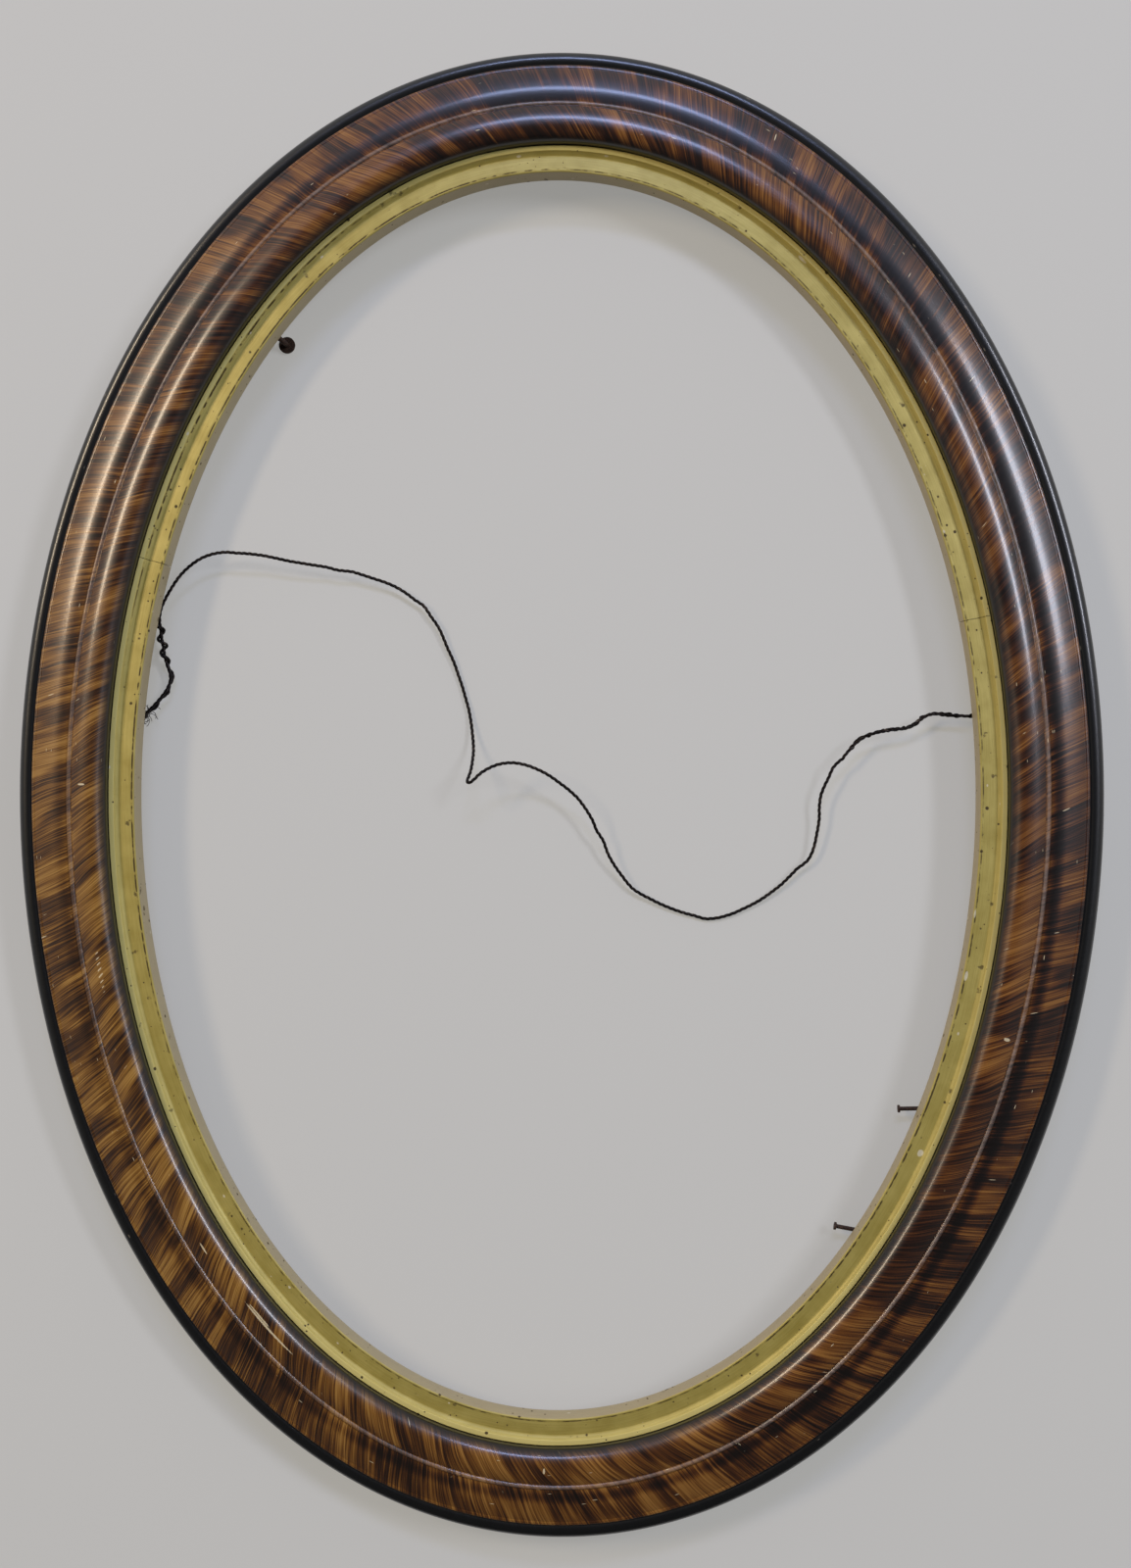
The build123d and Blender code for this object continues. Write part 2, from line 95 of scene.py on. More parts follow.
# Hanging wire: its route from screw eye to screw eye
WIRE_DIAMETER = 1.3
ROUTE_STEPS = 12
ROUTE_ORDER = 3
WIRE_ROUTE = [
    (-170.5, 25.6, 5.0),
    (-163.6, 30.6, 4.8), (-157.3, 37.0, 4.4), (-153.0, 42.4, 4.2), (-151.5, 47.2, 4.1),
    (-153.9, 53.0, 4.1), (-155.6, 63.4, 4.3), (-156.6, 72.0, 4.8), (-152.7, 79.8, 5.8),
    (-146.2, 88.3, 7.0), (-136.6, 94.6, 7.8), (-125.0, 95.9, 8.0), (-110.7, 93.9, 7.2),
    (-97.0, 91.5, 6.2), (-80.0, 88.1, 4.8), (-63.6, 84.1, 3.6), (-53.0, 76.8, 2.8),
    (-45.5, 67.8, 2.2), (-42.5, 58.4, 1.7), (-38.5, 50.4, 1.2), (-35.7, 40.4, 1.0),
    (-32.6, 29.6, 1.3), (-31.0, 21.0, 3.4), (-30.5, 14.8, 7.2), (-31.6, 9.6, 11.2),
    (-33.0, 5.4, 14.6), (-31.0, 5.2, 16.4), (-27.0, 9.8, 15.6), (-18.6, 13.4, 14.2),
    (-8.4, 12.6, 12.6), (1.9, 7.3, 10.8), (10.9, -1.8, 8.8), (17.8, -12.8, 6.6),
    (21.9, -24.8, 4.4), (29.9, -35.8, 2.6), (42.6, -43.0, 1.3), (57.2, -48.0, 0.9),
    (68.4, -47.4, 0.9), (79.4, -41.3, 1.2), (90.4, -32.6, 2.2), (99.8, -24.2, 3.2),
    (103.0, -12.7, 4.2), (103.0, -1.8, 5.2), (107.4, 10.0, 6.2), (113.4, 16.6, 6.8),
    (118.4, 23.0, 6.9), (129.0, 26.0, 6.7), (137.8, 26.3, 6.3), (144.2, 32.4, 6.0),
    (153.0, 31.4, 5.6), (161.8, 30.9, 5.2),
    (168.5, 30.6, 5.0),
]

# Tails, which turn round the screw eyes and are wound back round the wire: where along it the winding starts, its
# length, turns, first lean and waver, how far the tail nests from the wire, and the share by which the wire gives way
TURN_RADIUS = 1.75
TAIL_CLOSING = 8.0
LEFT_WRAP = {"start": 35.0, "length": 17.5, "turns": 3, "swing": -1.4, "waver": 0.35, "nest": 1.3, "aside": 0.0}
RIGHT_WRAP = {"start": 8.0, "length": 54.0, "turns": 6, "swing": 0.0, "waver": 0.9, "nest": 0.8, "aside": 0.25}
WRAP_EASE = 3.0
WAVER_PACE = 0.9
NEST_WAVER = 0.12
NEST_PACE = 1.7

# Kinks of the wire: length left straight at its ends, their spacing, and how far they stray
KINK_FREE = 66.0
KINK_SPACING = (4.0, 11.0)
KINK_STRAY = 0.5
KINK_SEED = 5

# Strands of the wire, of its thick left tail and of its thin right tail
STRAND_COUNT = 3
STRAND_DIAMETER = 0.66
BUNDLE_DIAMETER = 1.38
STRAND_LAY = 6.5
STRAND_STEP = 0.45
STRAND_SIDES = 8
THICK_STRAND_DIAMETER = 0.73
THICK_DIAMETER = 1.5
THIN_COUNT = 2
THIN_STRAND_DIAMETER = 0.44
THIN_DIAMETER = 0.85

# Frayed strands: where along the left tail they come out, and how they curl, rise and level off
FRAYED_COUNT = 34
FRAYED_DIAMETER = 0.24
FRAYED_PLACE = (18.5, 24.5)
FRAYED_LENGTH = (2.0, 6.0)
FRAYED_CURL = (0.3, 0.9)
FRAYED_RISE = (-0.1, 0.6)
FRAYED_LEVELLING = 0.9
FRAYED_SEED = 11

# Kinds of node that are used most, and the inputs of a mix of colours: its factor, and what shows at 0 and at 1
MATH = "ShaderNodeMath"
MAP_RANGE = "ShaderNodeMapRange"
VECTOR_MATH = "ShaderNodeVectorMath"
MIX = "ShaderNodeMix"
COMBINE = "ShaderNodeCombineXYZ"
STORE = "GeometryNodeStoreNamedAttribute"
STORED = "GeometryNodeInputNamedAttribute"
REALIZE = "GeometryNodeRealizeInstances"
FACTOR, UNDER, OVER = 0, 6, 7


def linear(code):
    """sRGB hex colour as linear red, green, blue and alpha."""
    parts = [int(code[k:k + 2], 16) / 255 for k in (1, 3, 5)]
    return [p / 12.92 if p <= 0.04045 else ((p + 0.055) / 1.055) ** 2.4 for p in parts] + [1.0]


def fill(tree, made, links):
    """Fills a node's inputs with values, hex colours, sockets or the first result of other nodes."""
    for socket, source in links.items():
        if isinstance(source, bpy.types.Node):
            source = next(output for output in source.outputs if output.enabled)
        if isinstance(source, bpy.types.NodeSocket):
            tree.links.new(source, made.inputs[socket])
        else:
            is_colour = isinstance(source, str) and source.startswith("#")
            made.inputs[socket].default_value = linear(source) if is_colour else source


def node(tree, kind, links=None, stops=(), **settings):
    """Adds a node, sets its properties and colour stops, and fills its inputs."""
    made = tree.nodes.new(kind)
    for name, value in settings.items():
        setattr(made, name, value)
    fill(tree, made, links or {})
    for k, (place, code) in enumerate(stops):
        ramp = made.color_ramp.elements
        stop = ramp[k] if k < len(ramp) else ramp.new(place)
        stop.position = place
        stop.color = linear(code)
    return made


def on_circle(tree, angle, height=0.0):
    """Point of the unit circle at an angle, raised by a height."""
    cosine = node(tree, MATH, {0: angle}, operation="COSINE")
    sine = node(tree, MATH, {0: angle}, operation="SINE")
    return node(tree, COMBINE, {"X": cosine, "Y": sine, "Z": height})


def geometry_tree(name, result, inputs):
    """Geometry tree with one result and named inputs of given kinds, and the sockets of those inputs."""
    tree = bpy.data.node_groups.new(name, "GeometryNodeTree")
    for socket, kind in inputs.items():
        tree.interface.new_socket(socket, in_out="INPUT", socket_type="NodeSocket" + kind)
    tree.interface.new_socket(result, in_out="OUTPUT", socket_type="NodeSocketGeometry")
    return tree, node(tree, "NodeGroupInput").outputs


def link_object(name, data):
    """Puts a mesh, curve, lamp or camera in the scene."""
    made = bpy.data.objects.new(name, data)
    bpy.context.scene.collection.objects.link(made)
    return made


# Camera: the photograph's viewpoint, nearly straight above the middle of the oval
CAMERA_PLACE = (41.0, 8.3, 615.6)
CAMERA_TURN = (-0.32, 3.38, 0.04)
CAMERA_LENS = 36.0
CAMERA_SENSOR = 36.0


def make_camera():
    """Camera at the photograph's viewpoint."""
    data = bpy.data.cameras.new("photo_camera")
    data.lens = CAMERA_LENS
    data.sensor_width = CAMERA_SENSOR
    camera = link_object("photo_camera", data)
    camera.location = [c * MM for c in CAMERA_PLACE]
    camera.rotation_euler = [math.radians(a) for a in CAMERA_TURN]
    bpy.context.scene.camera = camera


# Outlines of the two mouldings

def arc_through(start, middle, end):
    """Points of the arc through three points, without its start."""
    (ax, ay), (bx, by), (cx, cy) = start, middle, end
    d = 2 * (ax * (by - cy) + bx * (cy - ay) + cx * (ay - by))
    a2, b2, c2 = ax * ax + ay * ay, bx * bx + by * by, cx * cx + cy * cy
    centre = np.array([(a2 * (by - cy) + b2 * (cy - ay) + c2 * (ay - by)) / d,
                       (a2 * (cx - bx) + b2 * (ax - cx) + c2 * (bx - ax)) / d])
    radius = math.dist(centre, start)
    angles = [math.atan2(p[1] - centre[1], p[0] - centre[0]) for p in (start, middle, end)]
    sweep = (angles[2] - angles[0]) % (2 * math.pi)
    if (angles[1] - angles[0]) % (2 * math.pi) > sweep:
        sweep -= 2 * math.pi
    turns = [angles[0] + sweep * (k + 1) / ARC_STEPS for k in range(ARC_STEPS)]
    return [(centre[0] + radius * math.cos(t), centre[1] + radius * math.sin(t)) for t in turns]


def arc_leaving(start, direction, end):
    """Points of the arc that leaves a point in a direction and ends at another, without its start."""
    start, end = np.array(start), np.array(end)
    tangent = np.array(direction) / np.linalg.norm(direction)
    normal = np.array([-tangent[1], tangent[0]])
    chord = end - start
    radius = chord @ chord / (2 * chord @ normal)
    half_turn = math.atan2(chord @ normal, chord @ tangent)
    middle = start + tangent * (radius * math.sin(half_turn)) + normal * (radius * (1 - math.cos(half_turn)))
    return arc_through(tuple(start), tuple(middle), tuple(end))


def arc_arriving(start, end, direction):
    """Points of the arc that ends at a point, and would leave it backwards in the given direction."""
    return list(reversed(arc_leaving(end, direction, start)))[1:] + [end]


def soften(points, reach):
    """Rounds the sharp corners of an outline over a short reach on each side."""
    rounded = [points[0]]
    for before, corner, after in zip(points, points[1:], points[2:]):
        into, out = np.subtract(corner, before), np.subtract(after, corner)
        cosine = into @ out / (np.linalg.norm(into) * np.linalg.norm(out))
        if cosine > math.cos(math.radians(CORNER_ANGLE)):
            rounded.append(corner)
            continue
        first = np.array(corner) - into * min(CORNER_SHARE, reach / np.linalg.norm(into))
        last = np.array(corner) + out * min(CORNER_SHARE, reach / np.linalg.norm(out))
        for t in np.linspace(0.0, 1.0, CORNER_STEPS + 1):
            rounded.append(tuple(first * (1 - t) ** 2 + np.array(corner) * 2 * t * (1 - t) + last * t * t))
    return rounded + [points[-1]]


def rail_stretches():
    """Outline of the grained moulding, as named stretches that start at the foot of the rabbet wall."""
    at = {name: (NOSE + along * WOOD_WIDTH, SHOULDER + up * CROWN_HEIGHT)
          for name, (along, up) in WOOD_SHARES.items()}
    slope = arc_leaving(at["slope_top"], (1, 0), at["slope_middle"])
    slope_heading = np.subtract(slope[-1], slope[-2])
    rim = arc_through(at["quirk"], at["rim_crown"], at["rim_shoulder"])
    rim_heading = np.subtract(rim[-1], rim[-2])
    return {
        "rabbet": [(RABBET_WALL, 0.0), (RABBET_WALL, SHOULDER), (NOSE, SHOULDER)],
        "nose": [at["nose_top"]],
        "roll": (arc_arriving(at["nose_top"], at["roll_top"], (-1, 0))
                 + arc_leaving(at["roll_top"], (1, 0), at["roll_edge"])),
        "bead": [at["bead_inner"]] + arc_through(at["bead_inner"], at["bead_top"], at["bead_outer"]),
        "slope": (arc_arriving(at["bead_outer"], at["slope_top"], (-1, 0)) + slope
                  + arc_leaving(at["slope_middle"], slope_heading, at["slope_foot"])),
        "fillet": arc_through(at["slope_foot"], at["fillet_top"], at["fillet_edge"]),
        "rim": [at["quirk"]] + rim + arc_leaving(at["rim_shoulder"], rim_heading, at["rim_edge"]),
        "side": [(BACK_EDGE, 0.0)],
        "back": [(RABBET_WALL + SEAM, 0.0)],
    }


def slip_stretches():
    """Outline of the gilt slip, as named stretches that start under the back of its flange."""
    at = {name: (along * GILT_WIDTH, SHOULDER + up * GILT_RISE) for name, (along, up) in GILT_SHARES.items()}
    flange_end = RABBET_WALL - SLIP_CLEARANCE
    return {
        "underside": [(flange_end, RABBET_DEPTH), (0.0, RABBET_DEPTH)],
        "sight": [at["arris_foot"]],
        "arris": arc_through(at["arris_foot"], at["arris_top"], at["arris_back"]),
        "dish": arc_through(at["arris_back"], at["dish"], at["dish_foot"]),
        "cove": arc_through(at["dish_foot"], at["cove"], at["cove_edge"]),
        "fillet": [at["fillet_edge"]],
        "flange": [(GILT_WIDTH, SHOULDER), (flange_end, SHOULDER), (flange_end, RABBET_DEPTH + SEAM)],
    }


def girth_marks(stretches):
    """Distance round the outline, in metres, at which each stretch starts."""
    marks, total, last = {}, 0.0, None
    for name, points in stretches.items():
        marks[name] = total * MM
        for point in points:
            total += math.dist(last, point) if last else 0.0
            last = point
    return marks


def curve_data(name, lines, kind="POLY"):
    """Curve data of open lines through points in metres."""
    data = bpy.data.curves.new(name, "CURVE")
    data.dimensions = "3D"
    for points in lines:
        spline = data.splines.new(kind)
        spline.points.add(len(points) - 1)
        for place, point in zip(spline.points, points):
            place.co = (*point, 1.0)
    return data


def section_curve(name, stretches):
    """Closed curve of an outline, for the geometry tree to run round the oval."""
    outline = soften([point for stretch in stretches.values() for point in stretch], CORNER_REACH)
    data = curve_data(name, [[(outwards * MM, up * MM, 0.0) for outwards, up in outline]])
    data.splines[0].use_cyclic_u = True
    return link_object(name, data)


# Lengths of moulding round the oval

def oval_run(start, end, pieces=720):
    """Length of the sight oval between two angles, in millimetres."""
    t = np.radians(np.linspace(start, end, pieces + 1))
    return float(np.hypot(np.diff(SIGHT_X * np.cos(t)), np.diff(SIGHT_Y * np.sin(t))).sum())


OVAL_LENGTH = oval_run(0.0, 360.0)


def moulding_tree():
    """Runs a section round part of the oval. Its UV map is the run along the sight edge and the girth, in metres."""
    tree, given = geometry_tree("moulding_run", "Moulding", {
        "Section": "Object", "Half width": "Float", "Half length": "Float", "Start angle": "Float",
        "End angle": "Float", "Run before": "Float", "Steps": "Int", "Finish": "Material"})
    line = node(tree, "GeometryNodeCurvePrimitiveLine")
    steps = node(tree, "GeometryNodeResampleCurve", {"Curve": line, "Count": given["Steps"]})
    share = node(tree, "GeometryNodeSplineParameter").outputs["Factor"]
    angle = node(tree, MAP_RANGE, {"Value": share, "To Min": given["Start angle"], "To Max": given["End angle"]})
    path = node(tree, STORE, {"Geometry": steps, "Name": "angle", "Value": angle})
    circle = on_circle(tree, node(tree, STORED, {"Name": "angle"}))
    halves = node(tree, COMBINE, {"X": given["Half width"], "Y": given["Half length"]})
    place = node(tree, VECTOR_MATH, {0: circle, 1: halves}, operation="MULTIPLY")
    oval = node(tree, "GeometryNodeSetPosition", {"Geometry": path, "Position": place})
    length = node(tree, "GeometryNodeSplineParameter").outputs["Length"]
    run = node(tree, MATH, {0: length, 1: given["Run before"]}, operation="ADD")
    path = node(tree, STORE, {"Geometry": oval, "Name": "run", "Value": run})

    section = node(tree, "GeometryNodeObjectInfo", {"Object": given["Section"]}).outputs["Geometry"]
    outline = node(tree, STORE, {"Geometry": section, "Name": "girth", "Value": length})
    spot = node(tree, "GeometryNodeInputPosition")
    outline = node(tree, STORE, {"Geometry": outline, "Name": "spot", "Value": spot}, data_type="FLOAT_VECTOR")
    tube = node(tree, "GeometryNodeCurveToMesh", {"Curve": path, "Profile Curve": outline, "Fill Caps": True})

    # Every ring of points stands square to the oval, outwards by the section's x and up by its y
    swapped = node(tree, COMBINE, {"X": given["Half length"], "Y": given["Half width"]})
    normal = node(tree, VECTOR_MATH, {0: circle, 1: swapped}, operation="MULTIPLY")
    outwards = node(tree, VECTOR_MATH, {0: normal}, operation="NORMALIZE")
    kept = node(tree, STORED, {"Name": "spot"}, data_type="FLOAT_VECTOR")
    parts = node(tree, "ShaderNodeSeparateXYZ", {0: kept}).outputs
    outset = node(tree, VECTOR_MATH, {0: outwards, "Scale": parts["X"]}, operation="SCALE")
    raised = node(tree, COMBINE, {"Z": parts["Y"]})
    ring = node(tree, VECTOR_MATH, {0: place, 1: outset}, operation="ADD")
    exact = node(tree, VECTOR_MATH, {0: ring, 1: raised}, operation="ADD")
    solid = node(tree, "GeometryNodeSetPosition", {"Geometry": tube, "Position": exact})

    run = node(tree, STORED, {"Name": "run"})
    girth = node(tree, STORED, {"Name": "girth"})
    pair = node(tree, COMBINE, {"X": run, "Y": girth})
    mapped = node(tree, STORE, {"Geometry": solid, "Name": "UVMap", "Value": pair},
                  data_type="FLOAT2", domain="CORNER")
    whole = node(tree, REALIZE, {"Geometry": mapped})
    finished = node(tree, "GeometryNodeSetMaterial", {"Geometry": whole, "Material": given["Finish"]})
    node(tree, "NodeGroupOutput", {"Moulding": finished})
    return tree


def grow(name, data, tree, **inputs):
    """Plain mesh that a geometry tree gives on an object, with the tree's named inputs set."""
    source = link_object(name + "_source", data)
    modifier = source.modifiers.new("tree", "NODES")
    modifier.node_group = tree
    for item in tree.interface.items_tree:
        if item.in_out == "INPUT" and item.name in inputs:
            modifier[item.identifier] = inputs[item.name]
    bpy.context.view_layer.update()
    mesh = bpy.data.meshes.new_from_object(source.evaluated_get(bpy.context.evaluated_depsgraph_get()))
    mesh.name = name
    bpy.data.objects.remove(source)
    return mesh


def lay_moulding(name, cad_node, tree, section, start, end, finish):
    """One length of moulding, in place of its CAD node."""
    length = oval_run(start, end)
    mesh = grow(name, bpy.data.meshes.new(name + "_seed"), tree, **{
        "Section": section, "Half width": SIGHT_X * MM, "Half length": SIGHT_Y * MM,
        "Start angle": math.radians(start), "End angle": math.radians(end),
        "Run before": oval_run(0.0, start) * MM if start >= 0 else -oval_run(start, 0.0) * MM,
        "Steps": int(length / RUN_STEP) + 1, "Finish": finish})
    mesh.shade_smooth()
    mesh.set_sharp_from_angle(angle=math.radians(SHARP_ANGLE))
    piece = link_object(name, mesh)
    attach(piece, "root")
    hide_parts(cad_node)
    return piece


# Hanging wire

def wire_line():
    """Smooth line of the hanging wire: points, in metres, read from the spline that its route controls."""
    data = curve_data("wire_route", [[[c * MM for c in point] for point in WIRE_ROUTE]], "NURBS")
    data.resolution_u = ROUTE_STEPS
    spline = data.splines[0]
    spline.order_u = ROUTE_ORDER
    spline.use_endpoint_u = True
    route = link_object("wire_route", data)
    bpy.context.view_layer.update()
    mesh = bpy.data.meshes.new_from_object(route)
    points = [v.co.copy() for v in mesh.vertices]
    bpy.data.objects.remove(route)
    bpy.data.meshes.remove(mesh)
    return points


def travelled(points):
    """Distance along a line at each of its points."""
    return np.concatenate([[0.0], np.cumsum(np.linalg.norm(np.diff(points, axis=0), axis=1))])


def point_at(points, travel, distance):
    """Point of a line at a distance along it."""
    return np.array([np.interp(distance, travel, column) for column in points.T])


def wound_end(line, wrap):
    """Wire and tail at one end: the wire's points, bent aside where the tail is wound round it, and the tail's,
    which runs from the wire's end round its screw eye and back along the wire."""
    points = np.array(line) / MM
    travel = travelled(points)
    start, length = wrap["start"], wrap["length"]

    def along(distance):
        """Place on the wire, its direction, and the level and upright directions across it."""
        place = point_at(points, travel, distance)
        ahead = point_at(points, travel, distance + WIRE_DIAMETER)
        back = point_at(points, travel, distance - WIRE_DIAMETER)
        direction = (ahead - back) / np.linalg.norm(ahead - back)
        across = np.cross((0, 0, 1), direction)
        across /= np.linalg.norm(across)
        return place, direction, across, np.cross(direction, across)

    def closing(distance):
        """0 at the screw eye, and 1 where the tail has closed up to the wire."""
        share = min(distance / TAIL_CLOSING, 1.0)
        return share * share * (3 - 2 * share)

    def lean(distance):
        """Direction in which the tail lies from the wire."""
        across, upright = along(distance)[2:]
        turned = max(distance - start, 0.0) / length
        swing = 2 * math.pi * turned * wrap["turns"] + wrap["waver"] * math.sin(WAVER_PACE * distance)
        swing += wrap["swing"] * closing(distance)
        return upright * math.sin(swing) - across * math.cos(swing)

    def bent(distance):
        """How far the wire is bent aside by the tail that is wound round it."""
        wound = min(distance - start, start + length + WRAP_EASE - distance) / WRAP_EASE
        return wrap["nest"] * wrap["aside"] * min(max(wound, 0.0), 1.0)

    wire = [Vector((point - lean(distance) * bent(distance)) * MM) for point, distance in zip(points, travel)]

    place, direction, across = along(0.0)[:3]
    turn_start = place - direction * WIRE_DIAMETER
    centre = turn_start - across * TURN_RADIUS
    tail = [place, turn_start]
    for k in range(1, ARC_STEPS + 1):
        angle = math.pi * k / ARC_STEPS
        tail.append(centre + (across * math.cos(angle) - direction * math.sin(angle)) * TURN_RADIUS)
    for distance in np.arange(STRAND_STEP, start + length, STRAND_STEP):
        nest = wrap["nest"] - bent(distance) + NEST_WAVER * math.sin(NEST_PACE * distance)
        offset = 2 * TURN_RADIUS + (nest - 2 * TURN_RADIUS) * closing(distance)
        tail.append(along(distance)[0] + lean(distance) * offset)
    return wire, [Vector(p * MM) for p in tail]


def kinked(line):
    """Wire with the small kinks of long use: between its wound ends it strays a little to both sides of its line."""
    chance = random.Random(KINK_SEED)
    points = np.array(line) / MM
    travel = travelled(points)
    places, strays = [KINK_FREE], [0.0]
    while places[-1] < travel[-1] - KINK_FREE:
        places.append(places[-1] + chance.uniform(*KINK_SPACING))
        strays.append(chance.uniform(-KINK_STRAY, KINK_STRAY))
    strays[-1] = 0.0
    across = np.cross((0.0, 0.0, 1.0), np.gradient(points, axis=0))
    across /= np.linalg.norm(across, axis=1)[:, None]
    moved = points + across * np.interp(travel, places, strays)[:, None]
    return [Vector(p * MM) for p in moved]


def frayed_lines(tail):
    """Broken strands that curl out of the tail near its screw eye, as lines of points."""
    chance = random.Random(FRAYED_SEED)
    points = np.array(tail) / MM
    travel = travelled(points)
    lines = []
    for _ in range(FRAYED_COUNT):
        point = point_at(points, travel, chance.uniform(*FRAYED_PLACE))
        heading, rise = chance.uniform(0, 2 * math.pi), chance.uniform(*FRAYED_RISE)
        turn = chance.choice((-1, 1)) * chance.uniform(*FRAYED_CURL)
        line = [Vector(point * MM)]
        for _ in range(int(chance.uniform(*FRAYED_LENGTH) / STRAND_STEP)):
            point = point + np.array([math.cos(heading), math.sin(heading), rise]) * STRAND_STEP
            point[2] = max(point[2], FRAYED_DIAMETER)
            heading += turn * STRAND_STEP
            rise *= FRAYED_LEVELLING
            line.append(Vector(point * MM))
        lines.append(line)
    return lines


def strand_tree():
    """Twists several strands along a line."""
    tree, given = geometry_tree("twisted_strands", "Strands", {
        "Line": "Geometry", "Strands": "Int", "Strand diameter": "Float", "Wire diameter": "Float",
        "Lay": "Float", "Step": "Float", "Sides": "Int", "Finish": "Material"})
    line = node(tree, "GeometryNodeResampleCurve", {"Curve": given["Line"], "Length": given["Step"]}, mode="LENGTH")
    length = node(tree, "GeometryNodeSplineParameter").outputs["Length"]
    turns = node(tree, MATH, {0: length, 1: given["Lay"]}, operation="DIVIDE")
    twist = node(tree, MATH, {0: turns, 1: 2 * math.pi}, operation="MULTIPLY")
    tilted = node(tree, "GeometryNodeSetCurveTilt", {"Curve": line, "Tilt": twist})

    index = node(tree, "GeometryNodeInputIndex")
    share = node(tree, MATH, {0: index, 1: given["Strands"]}, operation="DIVIDE")
    angle = node(tree, MATH, {0: share, 1: 2 * math.pi}, operation="MULTIPLY")
    circle = on_circle(tree, angle)
    spare = node(tree, MATH, {0: given["Wire diameter"], 1: given["Strand diameter"]}, operation="SUBTRACT")
    offset = node(tree, MATH, {0: spare, 1: 0.5}, operation="MULTIPLY")
    place = node(tree, VECTOR_MATH, {0: circle, "Scale": offset}, operation="SCALE")
    ring = node(tree, "GeometryNodePoints", {"Count": given["Strands"], "Position": place})
    half = node(tree, MATH, {0: given["Strand diameter"], 1: 0.5}, operation="MULTIPLY")
    strand = node(tree, "GeometryNodeCurvePrimitiveCircle", {"Resolution": given["Sides"], "Radius": half})
    bundle = node(tree, "GeometryNodeInstanceOnPoints", {"Points": ring, "Instance": strand})
    section = node(tree, REALIZE, {"Geometry": bundle})
    wound = node(tree, "GeometryNodeCurveToMesh", {"Curve": tilted, "Profile Curve": section, "Fill Caps": True})
    whole = node(tree, REALIZE, {"Geometry": wound})
    finished = node(tree, "GeometryNodeSetMaterial", {"Geometry": whole, "Material": given["Finish"]})
    node(tree, "NodeGroupOutput", {"Strands": finished})
    return tree


def twist_wire(name, lines, tree, finish, strands=STRAND_COUNT, strand=STRAND_DIAMETER, wire=BUNDLE_DIAMETER):
    """Twisted strands along lines of points, as one piece, with the diameters of a strand and of the whole wire."""
    mesh = grow(name, curve_data(name, lines), tree, **{
        "Strands": strands, "Strand diameter": strand * MM, "Wire diameter": wire * MM,
        "Lay": STRAND_LAY * MM, "Step": STRAND_STEP * MM, "Sides": STRAND_SIDES, "Finish": finish})
    mesh.shade_smooth()
    piece = link_object(name, mesh)
    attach(piece, "root")
    return piece


# Materials

def new_material(name):
    """Material, its node tree and its shader."""
    material = bpy.data.materials.new(name)
    material.use_nodes = True
    return material, material.node_tree, material.node_tree.nodes["Principled BSDF"]


def moulding_map(tree):
    """Run along the moulding and girth round it, in metres, from the piece's own UV map."""
    mapped = node(tree, "ShaderNodeUVMap", uv_map="UVMap")
    parts = node(tree, "ShaderNodeSeparateXYZ", {0: mapped}).outputs
    return parts["X"], parts["Y"]


def ring_place(tree, travel, girth, period, length):
    """Coordinates that close round the oval: 1 is a period along it, or a length across it, in millimetres."""
    angle = node(tree, MATH, {0: travel, 1: 2 * math.pi / (OVAL_LENGTH * MM)}, operation="MULTIPLY")
    turned = on_circle(tree, angle, girth)
    radius = OVAL_LENGTH / (2 * math.pi) / period
    scale = (radius, radius, 1 / (length * MM))
    return node(tree, VECTOR_MATH, {0: turned, 1: scale}, operation="MULTIPLY")


def ring_noise(tree, travel, girth, period, length, detail=2.0):
    """Noise round the oval, with features of a period along it and a length across it, in millimetres."""
    place = ring_place(tree, travel, girth, period, length)
    return node(tree, "ShaderNodeTexNoise", {"Vector": place, "Scale": 1.0, "Detail": detail})


# Share of a speck's size inside which it is full
SPECK_CORE = 0.6


def specks(tree, travel, girth, period, length, reach, chance):
    """Spots of up to a reach, as a share of their spacing, in a chance share of the cells round the oval."""
    place = ring_place(tree, travel, girth, period, length)
    cells = node(tree, "ShaderNodeTexVoronoi", {"Vector": place, "Scale": 1.0})
    pick = node(tree, "ShaderNodeSeparateColor", {0: cells.outputs["Color"]}).outputs
    size = node(tree, MATH, {0: pick["Green"], 1: reach}, operation="MULTIPLY")
    core = node(tree, MATH, {0: size, 1: SPECK_CORE}, operation="MULTIPLY")
    near = node(tree, MAP_RANGE, {"Value": cells.outputs["Distance"], "From Min": size, "From Max": core},
                interpolation_type="SMOOTHSTEP")
    chosen = node(tree, MATH, {0: pick["Red"], 1: chance}, operation="LESS_THAN")
    return node(tree, MATH, {0: near, 1: chosen}, operation="MULTIPLY")


def near_girth(tree, girth, middle, half):
    """1 at a girth, falling smoothly to 0 at half a width on both sides, all in metres."""
    off = node(tree, MATH, {0: girth, 1: middle}, operation="SUBTRACT")
    off = node(tree, MATH, {0: off}, operation="ABSOLUTE")
    return node(tree, MAP_RANGE, {"Value": off, "From Min": half, "From Max": 0.0},
                interpolation_type="SMOOTHSTEP")


def near_run(tree, run, place, half):
    """1 at a place along the run, falling smoothly to 0 at half a width on both sides, in millimetres."""
    total = OVAL_LENGTH * MM
    off = node(tree, MATH, {0: run, 1: place * MM}, operation="SUBTRACT")
    off = node(tree, MATH, {0: off, 1: total / 2, 2: -total / 2}, operation="WRAP")
    return near_girth(tree, off, 0.0, half * MM)


def largest(tree, values):
    """Largest of several masks."""
    most = values[0]
    for value in values[1:]:
        most = node(tree, MATH, {0: most, 1: value}, operation="MAXIMUM")
    return most


